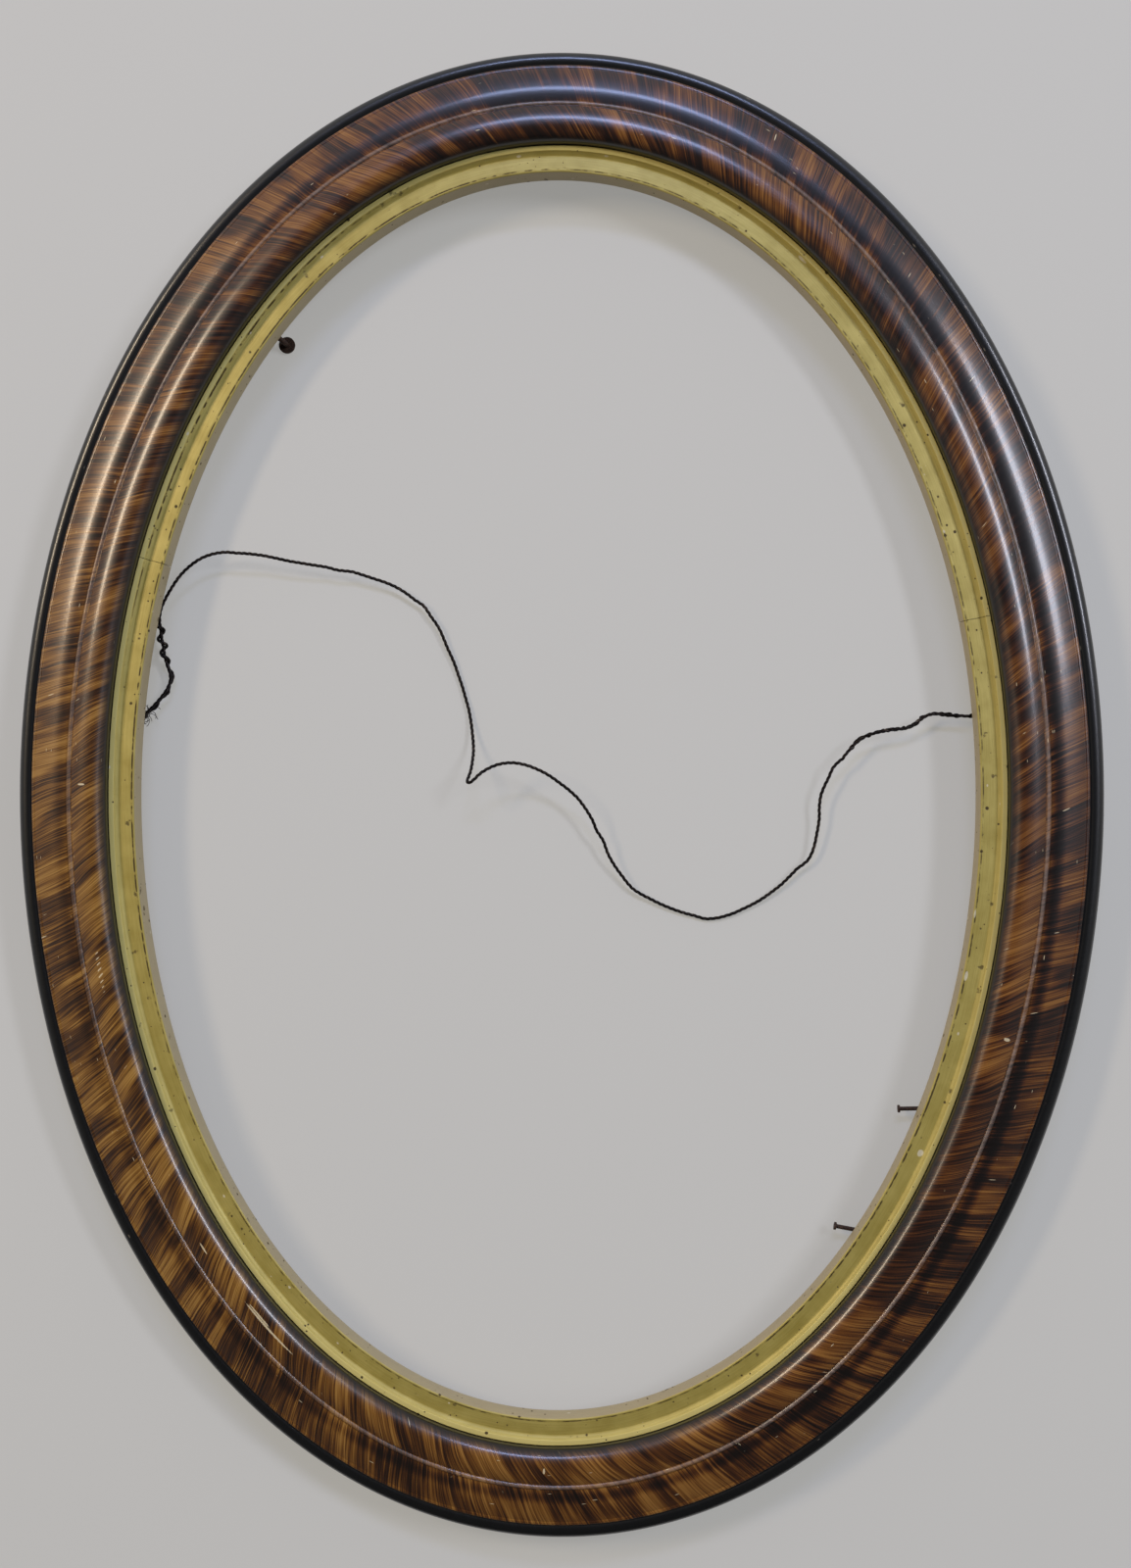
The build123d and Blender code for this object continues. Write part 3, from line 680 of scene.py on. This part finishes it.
def marked(tree, run, girth, start, spots):
    """Marks at chosen spots: run, girth beyond a start, and half sizes along and across, in millimetres."""
    masks = []
    for place, beyond, half_run, half_girth in spots:
        along = near_run(tree, run, place, half_run)
        across = near_girth(tree, girth, start + beyond * MM, half_girth * MM)
        masks.append(node(tree, MATH, {0: along, 1: across}, operation="MULTIPLY"))
    return largest(tree, masks)


# Graining: widths of its bands, clumps and combed lines along the run, their lengths across it, the size of its darker
# and lighter regions, how the comb wavers and leans, and a jump across it that starts the pattern anew
GRAIN_BAND = 8.0
GRAIN_BAND_LENGTH = 28.0
GRAIN_CLUMP = 1.3
GRAIN_CLUMP_LENGTH = 20.0
GRAIN_LINE = 0.45
GRAIN_LINE_LENGTH = 24.0
GRAIN_REGION = 70.0
WAVER_LENGTH = 40.0
WAVER = 9.0
ROLL_LEAN = 0.6
SLOPE_LEAN = 0.3
LEAN_EASE = 5.0
PARTING = 300.0

# Places along the run: where the graining is golden, the lit side where the recess's painted shade is weaker, and the
# cream scratches and ticks on the roll
GOLDEN_PLACE = 745.0
GOLDEN_HALF = 360.0
LIT_SIDE_PLACE = 700.0
LIT_SIDE_HALF = 420.0
SCRATCHES = [
    (841.0, 8.0, 20.0, 0.7), (836.0, 7.2, 9.0, 0.5), (805.0, 9.4, 4.0, 0.6), (629.0, 10.0, 0.6, 2.4),
    (948.5, 8.6, 0.6, 2.0), (1181.0, 11.5, 1.0, 2.2),
]
TICK_ROW = [(698.0, 8.9, 13.0, 1.5)]
TICK_SPACING = 2.1

# Places across the moulding: crest of the bead with its painted highlight, recess beyond it with its painted shade,
# painted shade on the nose, edge of the bare back, and the shares by which golden graining spares the bead's painted
# highlight and the lit side spares the recess's painted shade
BEAD_CREST = 1.1
BEAD_HIGHLIGHT_SPARED = 0.7
RECESS_PLACE = 2.6
RECESS_HALF = 3.6
RECESS_SPARED = 0.8
NOSE_SHADE = (0.3, 5.5)
BARE_INSET = 2.0

# Specks: spacing along and across in millimetres, reach as a share of it, and share of the cells that have one
TICKS = (1.1, 10.0, 0.24, 0.025)
NICKS = (3.4, 0.55, 0.32, 0.02)
EDGE_CHIPS = (5.0, 2.0, 0.2, 0.12)
PITS = (4.0, 4.0, 0.22, 0.45)
FINE_PITS = (2.2, 2.2, 0.2, 0.4)
FLAKES = (6.5, 3.9, 0.16, 0.35)

# Tone of the graining: its base, what each pattern adds, and where masks start and are full
TONE_BASE = -0.98
BLOCK_GAIN = 0.4
CLUMP_GAIN = 0.5
COMB_GAIN = 1.55
REGION_GAIN = 0.5
GOLDEN_GAIN = 0.16
RECESS_SHADE_GAIN = -0.45
BLOCK_EDGES = {"From Min": 0.36, "From Max": 0.64}
TICK_EDGES = {"From Min": 0.6, "From Max": 0.9}
CHIP_EDGES = {"From Min": 0.3, "From Max": 0.45}
CHIP_SHOWN = 0.9
EDGE_CHIP_SHOWN = 0.6

# Varnish: roughness, relief of the combed lines with a chip as a multiple of it, and the clear coat
VARNISH_ROUGHNESS = 0.28
COMB_ROUGHNESS = 0.14
BARE_ROUGHNESS = 0.5
RELIEF_STRENGTH = 0.3
RELIEF_DEPTH = 0.05
CHIP_DEPTH = 1.5
VARNISH_IOR = 1.5
COAT_WEIGHT = 0.55
COAT_ROUGHNESS = 0.18

# Fibres of the bare back
FIBRE_LENGTH = 30.0
FIBRE_WIDTH = 0.9


def grained_varnish():
    """Softwood painted to look like rosewood: dark stain combed into slanting golden and red-brown streaks under
    old varnish, black on the rim and bare on the back. Deep colour, a satin gloss and fine combed lines."""
    material, tree, shader = new_material("grained_varnish")
    run, girth = moulding_map(tree)
    marks = girth_marks(rail_stretches())

    # The comb leans more on the roll than on the slope, wavers along the run, and starts anew beyond the bead
    across = node(tree, MATH, {0: girth, 1: marks["bead"]}, operation="SUBTRACT")
    on_roll = node(tree, MATH, {0: across, 1: 0.0, 2: LEAN_EASE * MM}, operation="SMOOTH_MIN")
    on_slope = node(tree, MATH, {0: across, 1: 0.0, 2: LEAN_EASE * MM}, operation="SMOOTH_MAX")
    waver = ring_noise(tree, run, girth, WAVER_LENGTH, 2 * WAVER_LENGTH)
    lean = node(tree, MATH, {0: waver, 1: WAVER * MM, 2: 0.0}, operation="MULTIPLY_ADD")
    lean = node(tree, MATH, {0: on_roll, 1: ROLL_LEAN, 2: lean}, operation="MULTIPLY_ADD")
    lean = node(tree, MATH, {0: on_slope, 1: SLOPE_LEAN, 2: lean}, operation="MULTIPLY_ADD")
    travel = node(tree, MATH, {0: run, 1: lean}, operation="SUBTRACT")
    beyond = node(tree, MATH, {0: across, 1: 0.0}, operation="GREATER_THAN")
    parted = node(tree, MATH, {0: beyond, 1: PARTING * MM, 2: girth}, operation="MULTIPLY_ADD")

    band = ring_noise(tree, travel, parted, GRAIN_BAND, GRAIN_BAND_LENGTH, detail=1.0)
    block = node(tree, MAP_RANGE, {"Value": band, **BLOCK_EDGES}, interpolation_type="SMOOTHSTEP")
    clump = ring_noise(tree, travel, parted, GRAIN_CLUMP, GRAIN_CLUMP_LENGTH, detail=1.0)
    comb = ring_noise(tree, travel, parted, GRAIN_LINE, GRAIN_LINE_LENGTH)
    region = ring_noise(tree, run, girth, GRAIN_REGION, GRAIN_REGION, detail=1.0)
    golden = near_run(tree, run, GOLDEN_PLACE, GOLDEN_HALF)
    # Painted shade darkens the recess beyond the bead, less on the lit lower left
    recess = near_girth(tree, girth, marks["slope"] + RECESS_PLACE * MM, RECESS_HALF * MM)
    lit_side = near_run(tree, run, LIT_SIDE_PLACE, LIT_SIDE_HALF)
    recess_shade = node(tree, MATH, {0: lit_side, 1: -RECESS_SPARED, 2: 1.0}, operation="MULTIPLY_ADD")
    recess_shade = node(tree, MATH, {0: recess, 1: recess_shade}, operation="MULTIPLY")
    tone = node(tree, MATH, {0: block, 1: BLOCK_GAIN, 2: TONE_BASE}, operation="MULTIPLY_ADD")
    for part, gain in ((clump, CLUMP_GAIN), (comb, COMB_GAIN), (region, REGION_GAIN), (golden, GOLDEN_GAIN),
                       (recess_shade, RECESS_SHADE_GAIN)):
        tone = node(tree, MATH, {0: part, 1: gain, 2: tone}, operation="MULTIPLY_ADD")
    gold = node(tree, "ShaderNodeValToRGB", {0: tone}, stops=(
        (0.05, "#140a04"), (0.30, "#2f1a09"), (0.50, "#543311"), (0.72, "#81581f"), (1.0, "#a9803d")))
    russet = node(tree, "ShaderNodeValToRGB", {0: tone}, stops=(
        (0.05, "#0c0502"), (0.30, "#261106"), (0.50, "#48250c"), (0.72, "#6d4116"), (1.0, "#92632b")))
    grain = node(tree, MIX, {FACTOR: golden, UNDER: russet, OVER: gold}, data_type="RGBA")

    # A painted highlight runs pale along the bead's crest, weaker where the graining is golden
    crest = near_girth(tree, girth, marks["bead"] + BEAD_CREST * MM, BEAD_CREST * MM)
    bead_highlight = node(tree, MATH, {0: golden, 1: -BEAD_HIGHLIGHT_SPARED, 2: 1.0}, operation="MULTIPLY_ADD")
    bead_highlight = node(tree, MATH, {0: bead_highlight, 1: clump}, operation="MULTIPLY")
    bead_highlight = node(tree, MATH, {0: bead_highlight, 1: crest}, operation="MULTIPLY")
    grain = node(tree, MIX, {FACTOR: bead_highlight, UNDER: grain, OVER: "#94857a"}, data_type="RGBA")

    # Cream ticks and scratches where the varnish is chipped through
    ticks = specks(tree, travel, girth, *TICKS)
    nicks = specks(tree, run, girth, *NICKS)
    wave = node(tree, MATH, {0: travel, 1: 2 * math.pi / (TICK_SPACING * MM)}, operation="MULTIPLY")
    wave = node(tree, MATH, {0: wave}, operation="SINE")
    peaks = node(tree, MAP_RANGE, {"Value": wave, **TICK_EDGES})
    row = marked(tree, run, girth, marks["roll"], TICK_ROW)
    row = node(tree, MATH, {0: row, 1: peaks}, operation="MULTIPLY")
    scratched = marked(tree, run, girth, marks["roll"], SCRATCHES)
    rough_edge = node(tree, MATH, {0: comb, 1: clump}, operation="ADD")
    through = node(tree, MATH, {0: largest(tree, [row, scratched]), 1: rough_edge}, operation="MULTIPLY")
    through = node(tree, MAP_RANGE, {"Value": through, **CHIP_EDGES})
    chips = largest(tree, [ticks, nicks, through])
    shown = node(tree, MATH, {0: chips, 1: CHIP_SHOWN}, operation="MULTIPLY")
    grain = node(tree, MIX, {FACTOR: shown, UNDER: grain, OVER: "#dccba2"}, data_type="RGBA")

    # Painted shade makes the steep nose and the foot of the roll nearly black; the rim is black, the back is bare
    dark, bright = (marks["roll"] + beyond * MM for beyond in NOSE_SHADE)
    lit = node(tree, MAP_RANGE, {"Value": girth, "From Min": dark, "From Max": bright},
               interpolation_type="SMOOTHSTEP")
    grain = node(tree, MIX, {FACTOR: lit, UNDER: "#0a0605", OVER: grain}, data_type="RGBA")
    edge_chips = specks(tree, run, girth, *EDGE_CHIPS)
    shown = node(tree, MATH, {0: edge_chips, 1: EDGE_CHIP_SHOWN}, operation="MULTIPLY")
    black = node(tree, MIX, {FACTOR: shown, UNDER: "#070808", OVER: "#7d7362"}, data_type="RGBA")
    rim = node(tree, MATH, {0: girth, 1: marks["rim"]}, operation="GREATER_THAN")
    front = node(tree, MIX, {FACTOR: rim, UNDER: grain, OVER: black}, data_type="RGBA")
    fibre = ring_noise(tree, run, girth, FIBRE_LENGTH, FIBRE_WIDTH, detail=3.0)
    bare = node(tree, MIX, {FACTOR: fibre, UNDER: "#4a3320", OVER: "#8a6a45"}, data_type="RGBA")
    inside = node(tree, MATH, {0: girth, 1: marks["nose"] - BARE_INSET * MM}, operation="LESS_THAN")
    under = node(tree, MATH, {0: girth, 1: marks["back"]}, operation="GREATER_THAN")
    behind = largest(tree, [inside, under])
    colour = node(tree, MIX, {FACTOR: behind, UNDER: front, OVER: bare}, data_type="RGBA")
    rough = node(tree, MATH, {0: comb, 1: COMB_ROUGHNESS, 2: VARNISH_ROUGHNESS}, operation="MULTIPLY_ADD")
    rough = node(tree, MATH, {0: behind, 1: BARE_ROUGHNESS, 2: rough}, operation="MULTIPLY_ADD")
    relief = node(tree, MATH, {0: chips, 1: -CHIP_DEPTH, 2: comb}, operation="MULTIPLY_ADD")
    bump = node(tree, "ShaderNodeBump", {
        "Strength": RELIEF_STRENGTH, "Distance": RELIEF_DEPTH * MM, "Height": relief})
    fill(tree, shader, {
        "Base Color": colour, "Roughness": rough, "Normal": bump, "IOR": VARNISH_IOR,
        "Coat Weight": COAT_WEIGHT, "Coat Roughness": COAT_ROUGHNESS})
    return material


# Gilding: sizes of its clouds, brush marks, stains and cracks, and places along the run of its cracks and worn spots
CLOUD = 9.0
BRUSH_LENGTH = 14.0
BRUSH_WIDTH = 0.4
STAIN = 5.0
CRACK_DASH = 3.0
CRACK_HALF = 0.5
CRACK_INSET = 0.1
COVE_CRACK = (475.0, 130.0)
COVE_CRACK_HALF = 0.6
COVE_CRACK_INSET = 0.9
CRACK_PLACES = ((1122.0, 120.0), (640.0, 90.0), (440.0, 140.0))
WORN_SPOTS = [(1131.0, 4.6, 3.2, 2.6), (1223.0, -0.4, 4.5, 1.2), (1199.5, 0.2, 4.0, 1.4), (215.4, 6.4, 6.0, 2.2)]

# Bronze: what brush marks add, its painted highlight and worn face, where masks start and are full, its sheen and
# relief
BRUSH_GAIN = 0.7
FILLET_START = 0.6
FILLET_HIGHLIGHT = 0.6
FACE_START = 0.3
FACE_FULL = 0.1
FACE_WORN = 0.75
SIGHT_INSET = 0.5
FLANGE_INSET = 0.2
DASH_EDGES = {"From Min": 0.40, "From Max": 0.58, "To Max": 2.4}
CRACK_LEAST = 0.4
STAIN_EDGES = {"From Min": 0.68, "From Max": 0.73, "To Max": 0.8}
WORN_EDGES = {"From Min": 0.28, "From Max": 0.36}
FLAKE_SHOWN = 0.7
BRONZE_METALLIC = 0.2
BRONZE_ROUGHNESS = 0.46
WORN_ROUGHNESS = 0.25
BRUSH_RELIEF = 0.35
GILT_STRENGTH = 0.5
PIT_DEPTH = 0.15


def bronze_paint():
    """Wood primed and brushed with bronze powder paint: dull brassy gold, pitted and flaked with age, with a
    cracked line at the sight edge. A soft metallic sheen without mirror reflections."""
    material, tree, shader = new_material("bronze_paint")
    run, girth = moulding_map(tree)
    marks = girth_marks(slip_stretches())
    cloud = ring_noise(tree, run, girth, CLOUD, CLOUD, detail=4.0)
    brushed = ring_noise(tree, run, girth, BRUSH_LENGTH, BRUSH_WIDTH)
    blend = node(tree, MATH, {0: brushed, 1: BRUSH_GAIN, 2: -BRUSH_GAIN / 2}, operation="MULTIPLY_ADD")
    blend = node(tree, MATH, {0: blend, 1: cloud}, operation="ADD")
    gold = node(tree, MIX, {FACTOR: blend, UNDER: "#958434", OVER: "#c4b464"}, data_type="RGBA")

    # A painted highlight lightens the fillet next to the wood, and the face of the sight edge kept the least bronze
    kept = node(tree, MAP_RANGE, {
        "Value": girth, "From Min": marks["cove"] + FILLET_START * MM, "From Max": marks["fillet"],
        "To Max": FILLET_HIGHLIGHT})
    gold = node(tree, MIX, {FACTOR: kept, UNDER: gold, OVER: "#ecdc8a"}, data_type="RGBA")
    face = node(tree, MAP_RANGE, {
        "Value": girth, "From Min": marks["arris"] + FACE_START * MM, "From Max": marks["arris"] - FACE_FULL * MM,
        "To Max": FACE_WORN})
    gold = node(tree, MIX, {FACTOR: face, UNDER: gold, OVER: "#b2a488"}, data_type="RGBA")

    # Cracked lines at the arris and, at the upper left, in the cove, pits, stains, flakes and a few worn spots
    dashes = ring_noise(tree, run, girth, CRACK_DASH, CRACK_DASH, detail=3.0)
    dashes = node(tree, MAP_RANGE, {"Value": dashes, **DASH_EDGES})
    wide = largest(tree, [near_run(tree, run, place, half) for place, half in CRACK_PLACES])
    wide = node(tree, MATH, {0: wide, 1: 1.0, 2: CRACK_LEAST}, operation="MULTIPLY_ADD", use_clamp=True)
    crack = near_girth(tree, girth, marks["dish"] - CRACK_INSET * MM, CRACK_HALF * MM)
    crack = node(tree, MATH, {0: crack, 1: dashes}, operation="MULTIPLY")
    crack = node(tree, MATH, {0: crack, 1: wide}, operation="MULTIPLY", use_clamp=True)
    cove_crack = near_girth(tree, girth, marks["fillet"] - COVE_CRACK_INSET * MM, COVE_CRACK_HALF * MM)
    cove_crack = node(tree, MATH, {0: cove_crack, 1: dashes}, operation="MULTIPLY")
    beside = near_run(tree, run, *COVE_CRACK)
    cove_crack = node(tree, MATH, {0: cove_crack, 1: beside}, operation="MULTIPLY", use_clamp=True)
    pits = specks(tree, run, girth, *PITS)
    fine_pits = specks(tree, run, girth, *FINE_PITS)
    stains = ring_noise(tree, run, girth, STAIN, STAIN, detail=5.0)
    stains = node(tree, MAP_RANGE, {"Value": stains, **STAIN_EDGES})
    dark = largest(tree, [crack, cove_crack, pits, fine_pits, stains])
    gold = node(tree, MIX, {FACTOR: dark, UNDER: gold, OVER: "#46370f"}, data_type="RGBA")
    flakes = specks(tree, run, girth, *FLAKES)
    worn = marked(tree, run, girth, marks["dish"], WORN_SPOTS)
    worn = node(tree, MATH, {0: worn, 1: cloud}, operation="MULTIPLY")
    worn = node(tree, MAP_RANGE, {"Value": worn, **WORN_EDGES})
    flakes = largest(tree, [flakes, worn])
    shown = node(tree, MATH, {0: flakes, 1: FLAKE_SHOWN}, operation="MULTIPLY")
    gold = node(tree, MIX, {FACTOR: shown, UNDER: gold, OVER: "#d8d0b4"}, data_type="RGBA")
    under = node(tree, MATH, {0: girth, 1: marks["sight"] - SIGHT_INSET * MM}, operation="LESS_THAN")
    hidden = node(tree, MATH, {0: girth, 1: marks["flange"] + FLANGE_INSET * MM}, operation="GREATER_THAN")
    behind = largest(tree, [under, hidden])
    colour = node(tree, MIX, {FACTOR: behind, UNDER: gold, OVER: "#7a5c38"}, data_type="RGBA")
    bare = largest(tree, [dark, flakes, behind])
    metal = node(tree, MATH, {0: bare, 1: -BRONZE_METALLIC, 2: BRONZE_METALLIC}, operation="MULTIPLY_ADD")
    rough = node(tree, MATH, {0: bare, 1: WORN_ROUGHNESS, 2: BRONZE_ROUGHNESS}, operation="MULTIPLY_ADD")
    height = node(tree, MATH, {0: brushed, 1: BRUSH_RELIEF}, operation="MULTIPLY")
    height = node(tree, MATH, {0: height, 1: dark}, operation="SUBTRACT")
    bump = node(tree, "ShaderNodeBump", {"Strength": GILT_STRENGTH, "Distance": PIT_DEPTH * MM, "Height": height})
    fill(tree, shader, {"Base Color": colour, "Metallic": metal, "Roughness": rough, "Normal": bump})
    return material


def object_noise(tree, size, detail=2.0):
    """Noise in the object's own coordinates, with features of a size in millimetres."""
    place = node(tree, "ShaderNodeTexCoord").outputs["Object"]
    return node(tree, "ShaderNodeTexNoise", {"Vector": place, "Scale": 1 / (size * MM), "Detail": detail})


# Relief of a metal's film: its strength, and its depth as a share of the grit
FILM_STRENGTH = 0.3
FILM_DEPTH = 0.1


def metal_finish(name, stops, grit, roughness, spread, metallic):
    """Dull metal whose colour, roughness and relief follow one noise of a grit in millimetres."""
    material, tree, shader = new_material(name)
    film = object_noise(tree, grit, detail=3.0)
    colour = node(tree, "ShaderNodeValToRGB", {0: film}, stops=stops)
    rough = node(tree, MATH, {0: film, 1: spread, 2: roughness}, operation="MULTIPLY_ADD")
    bump = node(tree, "ShaderNodeBump", {
        "Strength": FILM_STRENGTH, "Distance": FILM_DEPTH * grit * MM, "Height": film})
    fill(tree, shader, {"Base Color": colour, "Roughness": rough, "Normal": bump, "Metallic": metallic})
    return material


def darkened_wire():
    """Fine steel strands, brown-black with age and handling: dull metal with a few brighter rubs."""
    stops = ((0.35, "#140f0d"), (0.6, "#261e1a"), (0.75, "#51473f"))
    return metal_finish("darkened_wire", stops, grit=2.5, roughness=0.62, spread=-0.3, metallic=0.65)


def rusted_nail():
    """Cut steel nails with a skin of brown rust: matt, grainy, with darker scale."""
    stops = ((0.3, "#1f1713"), (0.5, "#3a2a20"), (0.72, "#5f4330"))
    return metal_finish("rusted_nail", stops, grit=0.6, roughness=0.5, spread=0.3, metallic=0.35)


def tarnished_eye():
    """Drawn steel of the screw eyes, grey gone brown: a soft metal sheen under thin tarnish."""
    stops = ((0.35, "#4a3d31"), (0.65, "#8a8177"))
    return metal_finish("tarnished_eye_steel", stops, grit=1.8, roughness=0.55, spread=-0.3, metallic=0.85)


# Softwood: spacing of its rings, how far they are drawn out along it, and its roughness
PINE_RING = 1.5
PINE_DRAW = 0.08
PINE_ROUGHNESS = 0.75


def bare_pine():
    """Plain softwood of the hidden tongues: pale, straight grained and unpolished."""
    material, tree, shader = new_material("bare_pine")
    place = node(tree, "ShaderNodeTexCoord").outputs["Object"]
    drawn = node(tree, VECTOR_MATH, {0: place, 1: (1.0, 1.0, PINE_DRAW)}, operation="MULTIPLY")
    grain = node(tree, "ShaderNodeTexNoise", {"Vector": drawn, "Scale": 1 / (PINE_RING * MM), "Detail": 3.0})
    colour = node(tree, MIX, {FACTOR: grain, UNDER: "#8f6f45", OVER: "#c4a274"}, data_type="RGBA")
    fill(tree, shader, {"Base Color": colour, "Roughness": PINE_ROUGHNESS})
    return material


# Floor and light

# Floor: half its width, the share of its plain colour, and its roughness
FLOOR_HALF = 3000.0
FLOOR_GLOW = 0.5
PAPER_ROUGHNESS = 0.9


def make_floor():
    """Pale paper. Half of what is seen of it is its plain colour, so that its shadows stay light."""
    half = FLOOR_HALF * MM
    mesh = bpy.data.meshes.new("floor")
    mesh.from_pydata([(-half, -half, 0), (half, -half, 0), (half, half, 0), (-half, half, 0)], [], [(0, 1, 2, 3)])
    material, tree, shader = new_material("pale_paper")
    fill(tree, shader, {"Base Color": "#c9c8c3", "Roughness": PAPER_ROUGHNESS})
    rays = node(tree, "ShaderNodeLightPath").outputs
    seen = largest(tree, [rays["Is Camera Ray"], rays["Is Glossy Ray"], rays["Is Transmission Ray"]])
    share = node(tree, MATH, {0: seen, 1: FLOOR_GLOW}, operation="MULTIPLY")
    plain = node(tree, "ShaderNodeEmission", {"Color": "#c7c6c2", "Strength": 1.0})
    both = node(tree, "ShaderNodeMixShader", {0: share, 1: shader, 2: plain})
    fill(tree, tree.nodes["Material Output"], {"Surface": both})
    mesh.materials.append(material)
    link_object("floor", mesh)


# Lamps: distance from the middle of the frame, and size of their panels
LAMP_DISTANCE = 2600.0
LAMP_WIDTH = 950.0
LAMP_HEIGHT = 280.0

# Room: its dimmest and brightest light, and where, as parts of a direction, it turns from one to the other
ROOM_DIM = 0.05
ROOM_BRIGHT = 0.62
ROOM_TURN = {"From Min": -0.9, "From Max": 0.7}
ROOM_UP = {"From Min": 1.0, "From Max": 0.3}

# Each lamp: name, azimuth from +X and height in degrees, share of the light on the floor, and colour
LAMPS = (
    ("left_lamp", 152, 42, 0.26, "#ffe9cb"), ("right_lamp", 26, 44, 0.26, "#edf0ff"),
    ("window", 88, 46, 0.22, "#b9caff"),
)


def add_lamp(name, azimuth, height, share, colour):
    """Lamp seen from the middle of the frame at an azimuth from +X and a height, in degrees, that gives the floor
    a share of the light at which a colour shows as it is written."""
    turn, up, distance = math.radians(azimuth), math.radians(height), LAMP_DISTANCE * MM
    place = Vector((math.cos(up) * math.cos(turn), math.cos(up) * math.sin(turn), math.sin(up))) * distance
    data = bpy.data.lights.new(name, "AREA")
    data.shape = "RECTANGLE"
    data.size = LAMP_WIDTH * MM
    data.size_y = LAMP_HEIGHT * MM
    data.energy = share * (math.pi * distance) ** 2 / math.sin(up)
    data.color = linear(colour)[:3]
    lamp = link_object(name, data)
    lamp.location = place
    lamp.rotation_euler = (-place).to_track_quat("-Z", "Y").to_euler()


def make_light():
    """Soft lamps on both sides, a cooler window beyond the top, and a room that is dark overhead and brighter
    low down towards the window."""
    world = bpy.data.worlds.new("room")
    world.use_nodes = True
    tree = world.node_tree
    direction = node(tree, "ShaderNodeTexCoord").outputs["Generated"]
    parts = node(tree, "ShaderNodeSeparateXYZ", {0: direction}).outputs
    towards = node(tree, MAP_RANGE, {"Value": parts["Y"], **ROOM_TURN})
    low = node(tree, MAP_RANGE, {"Value": parts["Z"], **ROOM_UP})
    share = node(tree, MATH, {0: towards, 1: low}, operation="MULTIPLY")
    level = node(tree, MAP_RANGE, {"Value": share, "To Min": ROOM_DIM, "To Max": ROOM_BRIGHT})
    fill(tree, tree.nodes["Background"], {"Color": "#f4f4f6", "Strength": level})
    bpy.context.scene.world = world
    for lamp in LAMPS:
        add_lamp(*lamp)


make_camera()
line = wire_line()
strands = strand_tree()
wire_finish = darkened_wire()
bent, left_points = wound_end(line, LEFT_WRAP)
bent, right_points = wound_end(bent[::-1], RIGHT_WRAP)
wire = twist_wire("twisted_hanging_wire", [kinked(bent[::-1])], strands, wire_finish)
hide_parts("hanging_wire")
left_tail = twist_wire("wound_left_tail", [left_points], strands, wire_finish,
                       strand=THICK_STRAND_DIAMETER, wire=THICK_DIAMETER)
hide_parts("left_wire_tail")
right_tail = twist_wire("wound_right_tail", [right_points], strands, wire_finish,
                        strands=THIN_COUNT, strand=THIN_STRAND_DIAMETER, wire=THIN_DIAMETER)
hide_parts("right_wire_tail")
frayed = twist_wire("frayed_strands", frayed_lines(left_points), strands, wire_finish,
                    strands=1, strand=FRAYED_DIAMETER, wire=FRAYED_DIAMETER)

mouldings = moulding_tree()
rail_section = section_curve("rail_section", rail_stretches())
slip_section = section_curve("slip_section", slip_stretches())
wood_finish = grained_varnish()
gilt_finish = bronze_paint()
joint = RAIL_JOINT_ANGLE
for name, start, end in (("top_rail", joint, 180 - joint), ("left_rail", 180 - joint, 180 + joint),
                         ("bottom_rail", 180 + joint, 360 - joint), ("right_rail", -joint, joint)):
    lay_moulding("grained_" + name, name, mouldings, rail_section, start, end, wood_finish)
for name, start, end in (("upper_gilt_slip", SLIP_RIGHT_ANGLE, SLIP_LEFT_ANGLE),
                         ("lower_gilt_slip", SLIP_LEFT_ANGLE, 360 + SLIP_RIGHT_ANGLE)):
    trim = SLIP_JOINT_GAP / 2 / oval_run(start, start + 1)
    lay_moulding("dull_" + name, name, mouldings, slip_section, start + trim, end - trim, gilt_finish)
bpy.data.objects.remove(rail_section)
bpy.data.objects.remove(slip_section)

dressed = {
    rusted_nail(): ("backing_tack", "upper_brad", "lower_brad", "slip_pins"),
    tarnished_eye(): ("left_screw_eye", "right_screw_eye"),
    bare_pine(): ("upper_right_tongue", "upper_left_tongue", "lower_left_tongue", "lower_right_tongue"),
}
for finish, names in dressed.items():
    for name in names:
        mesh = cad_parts[name].data
        mesh.materials.clear()
        mesh.materials.append(finish)

make_floor()
make_light()
bpy.context.scene.view_settings.view_transform = "Standard"
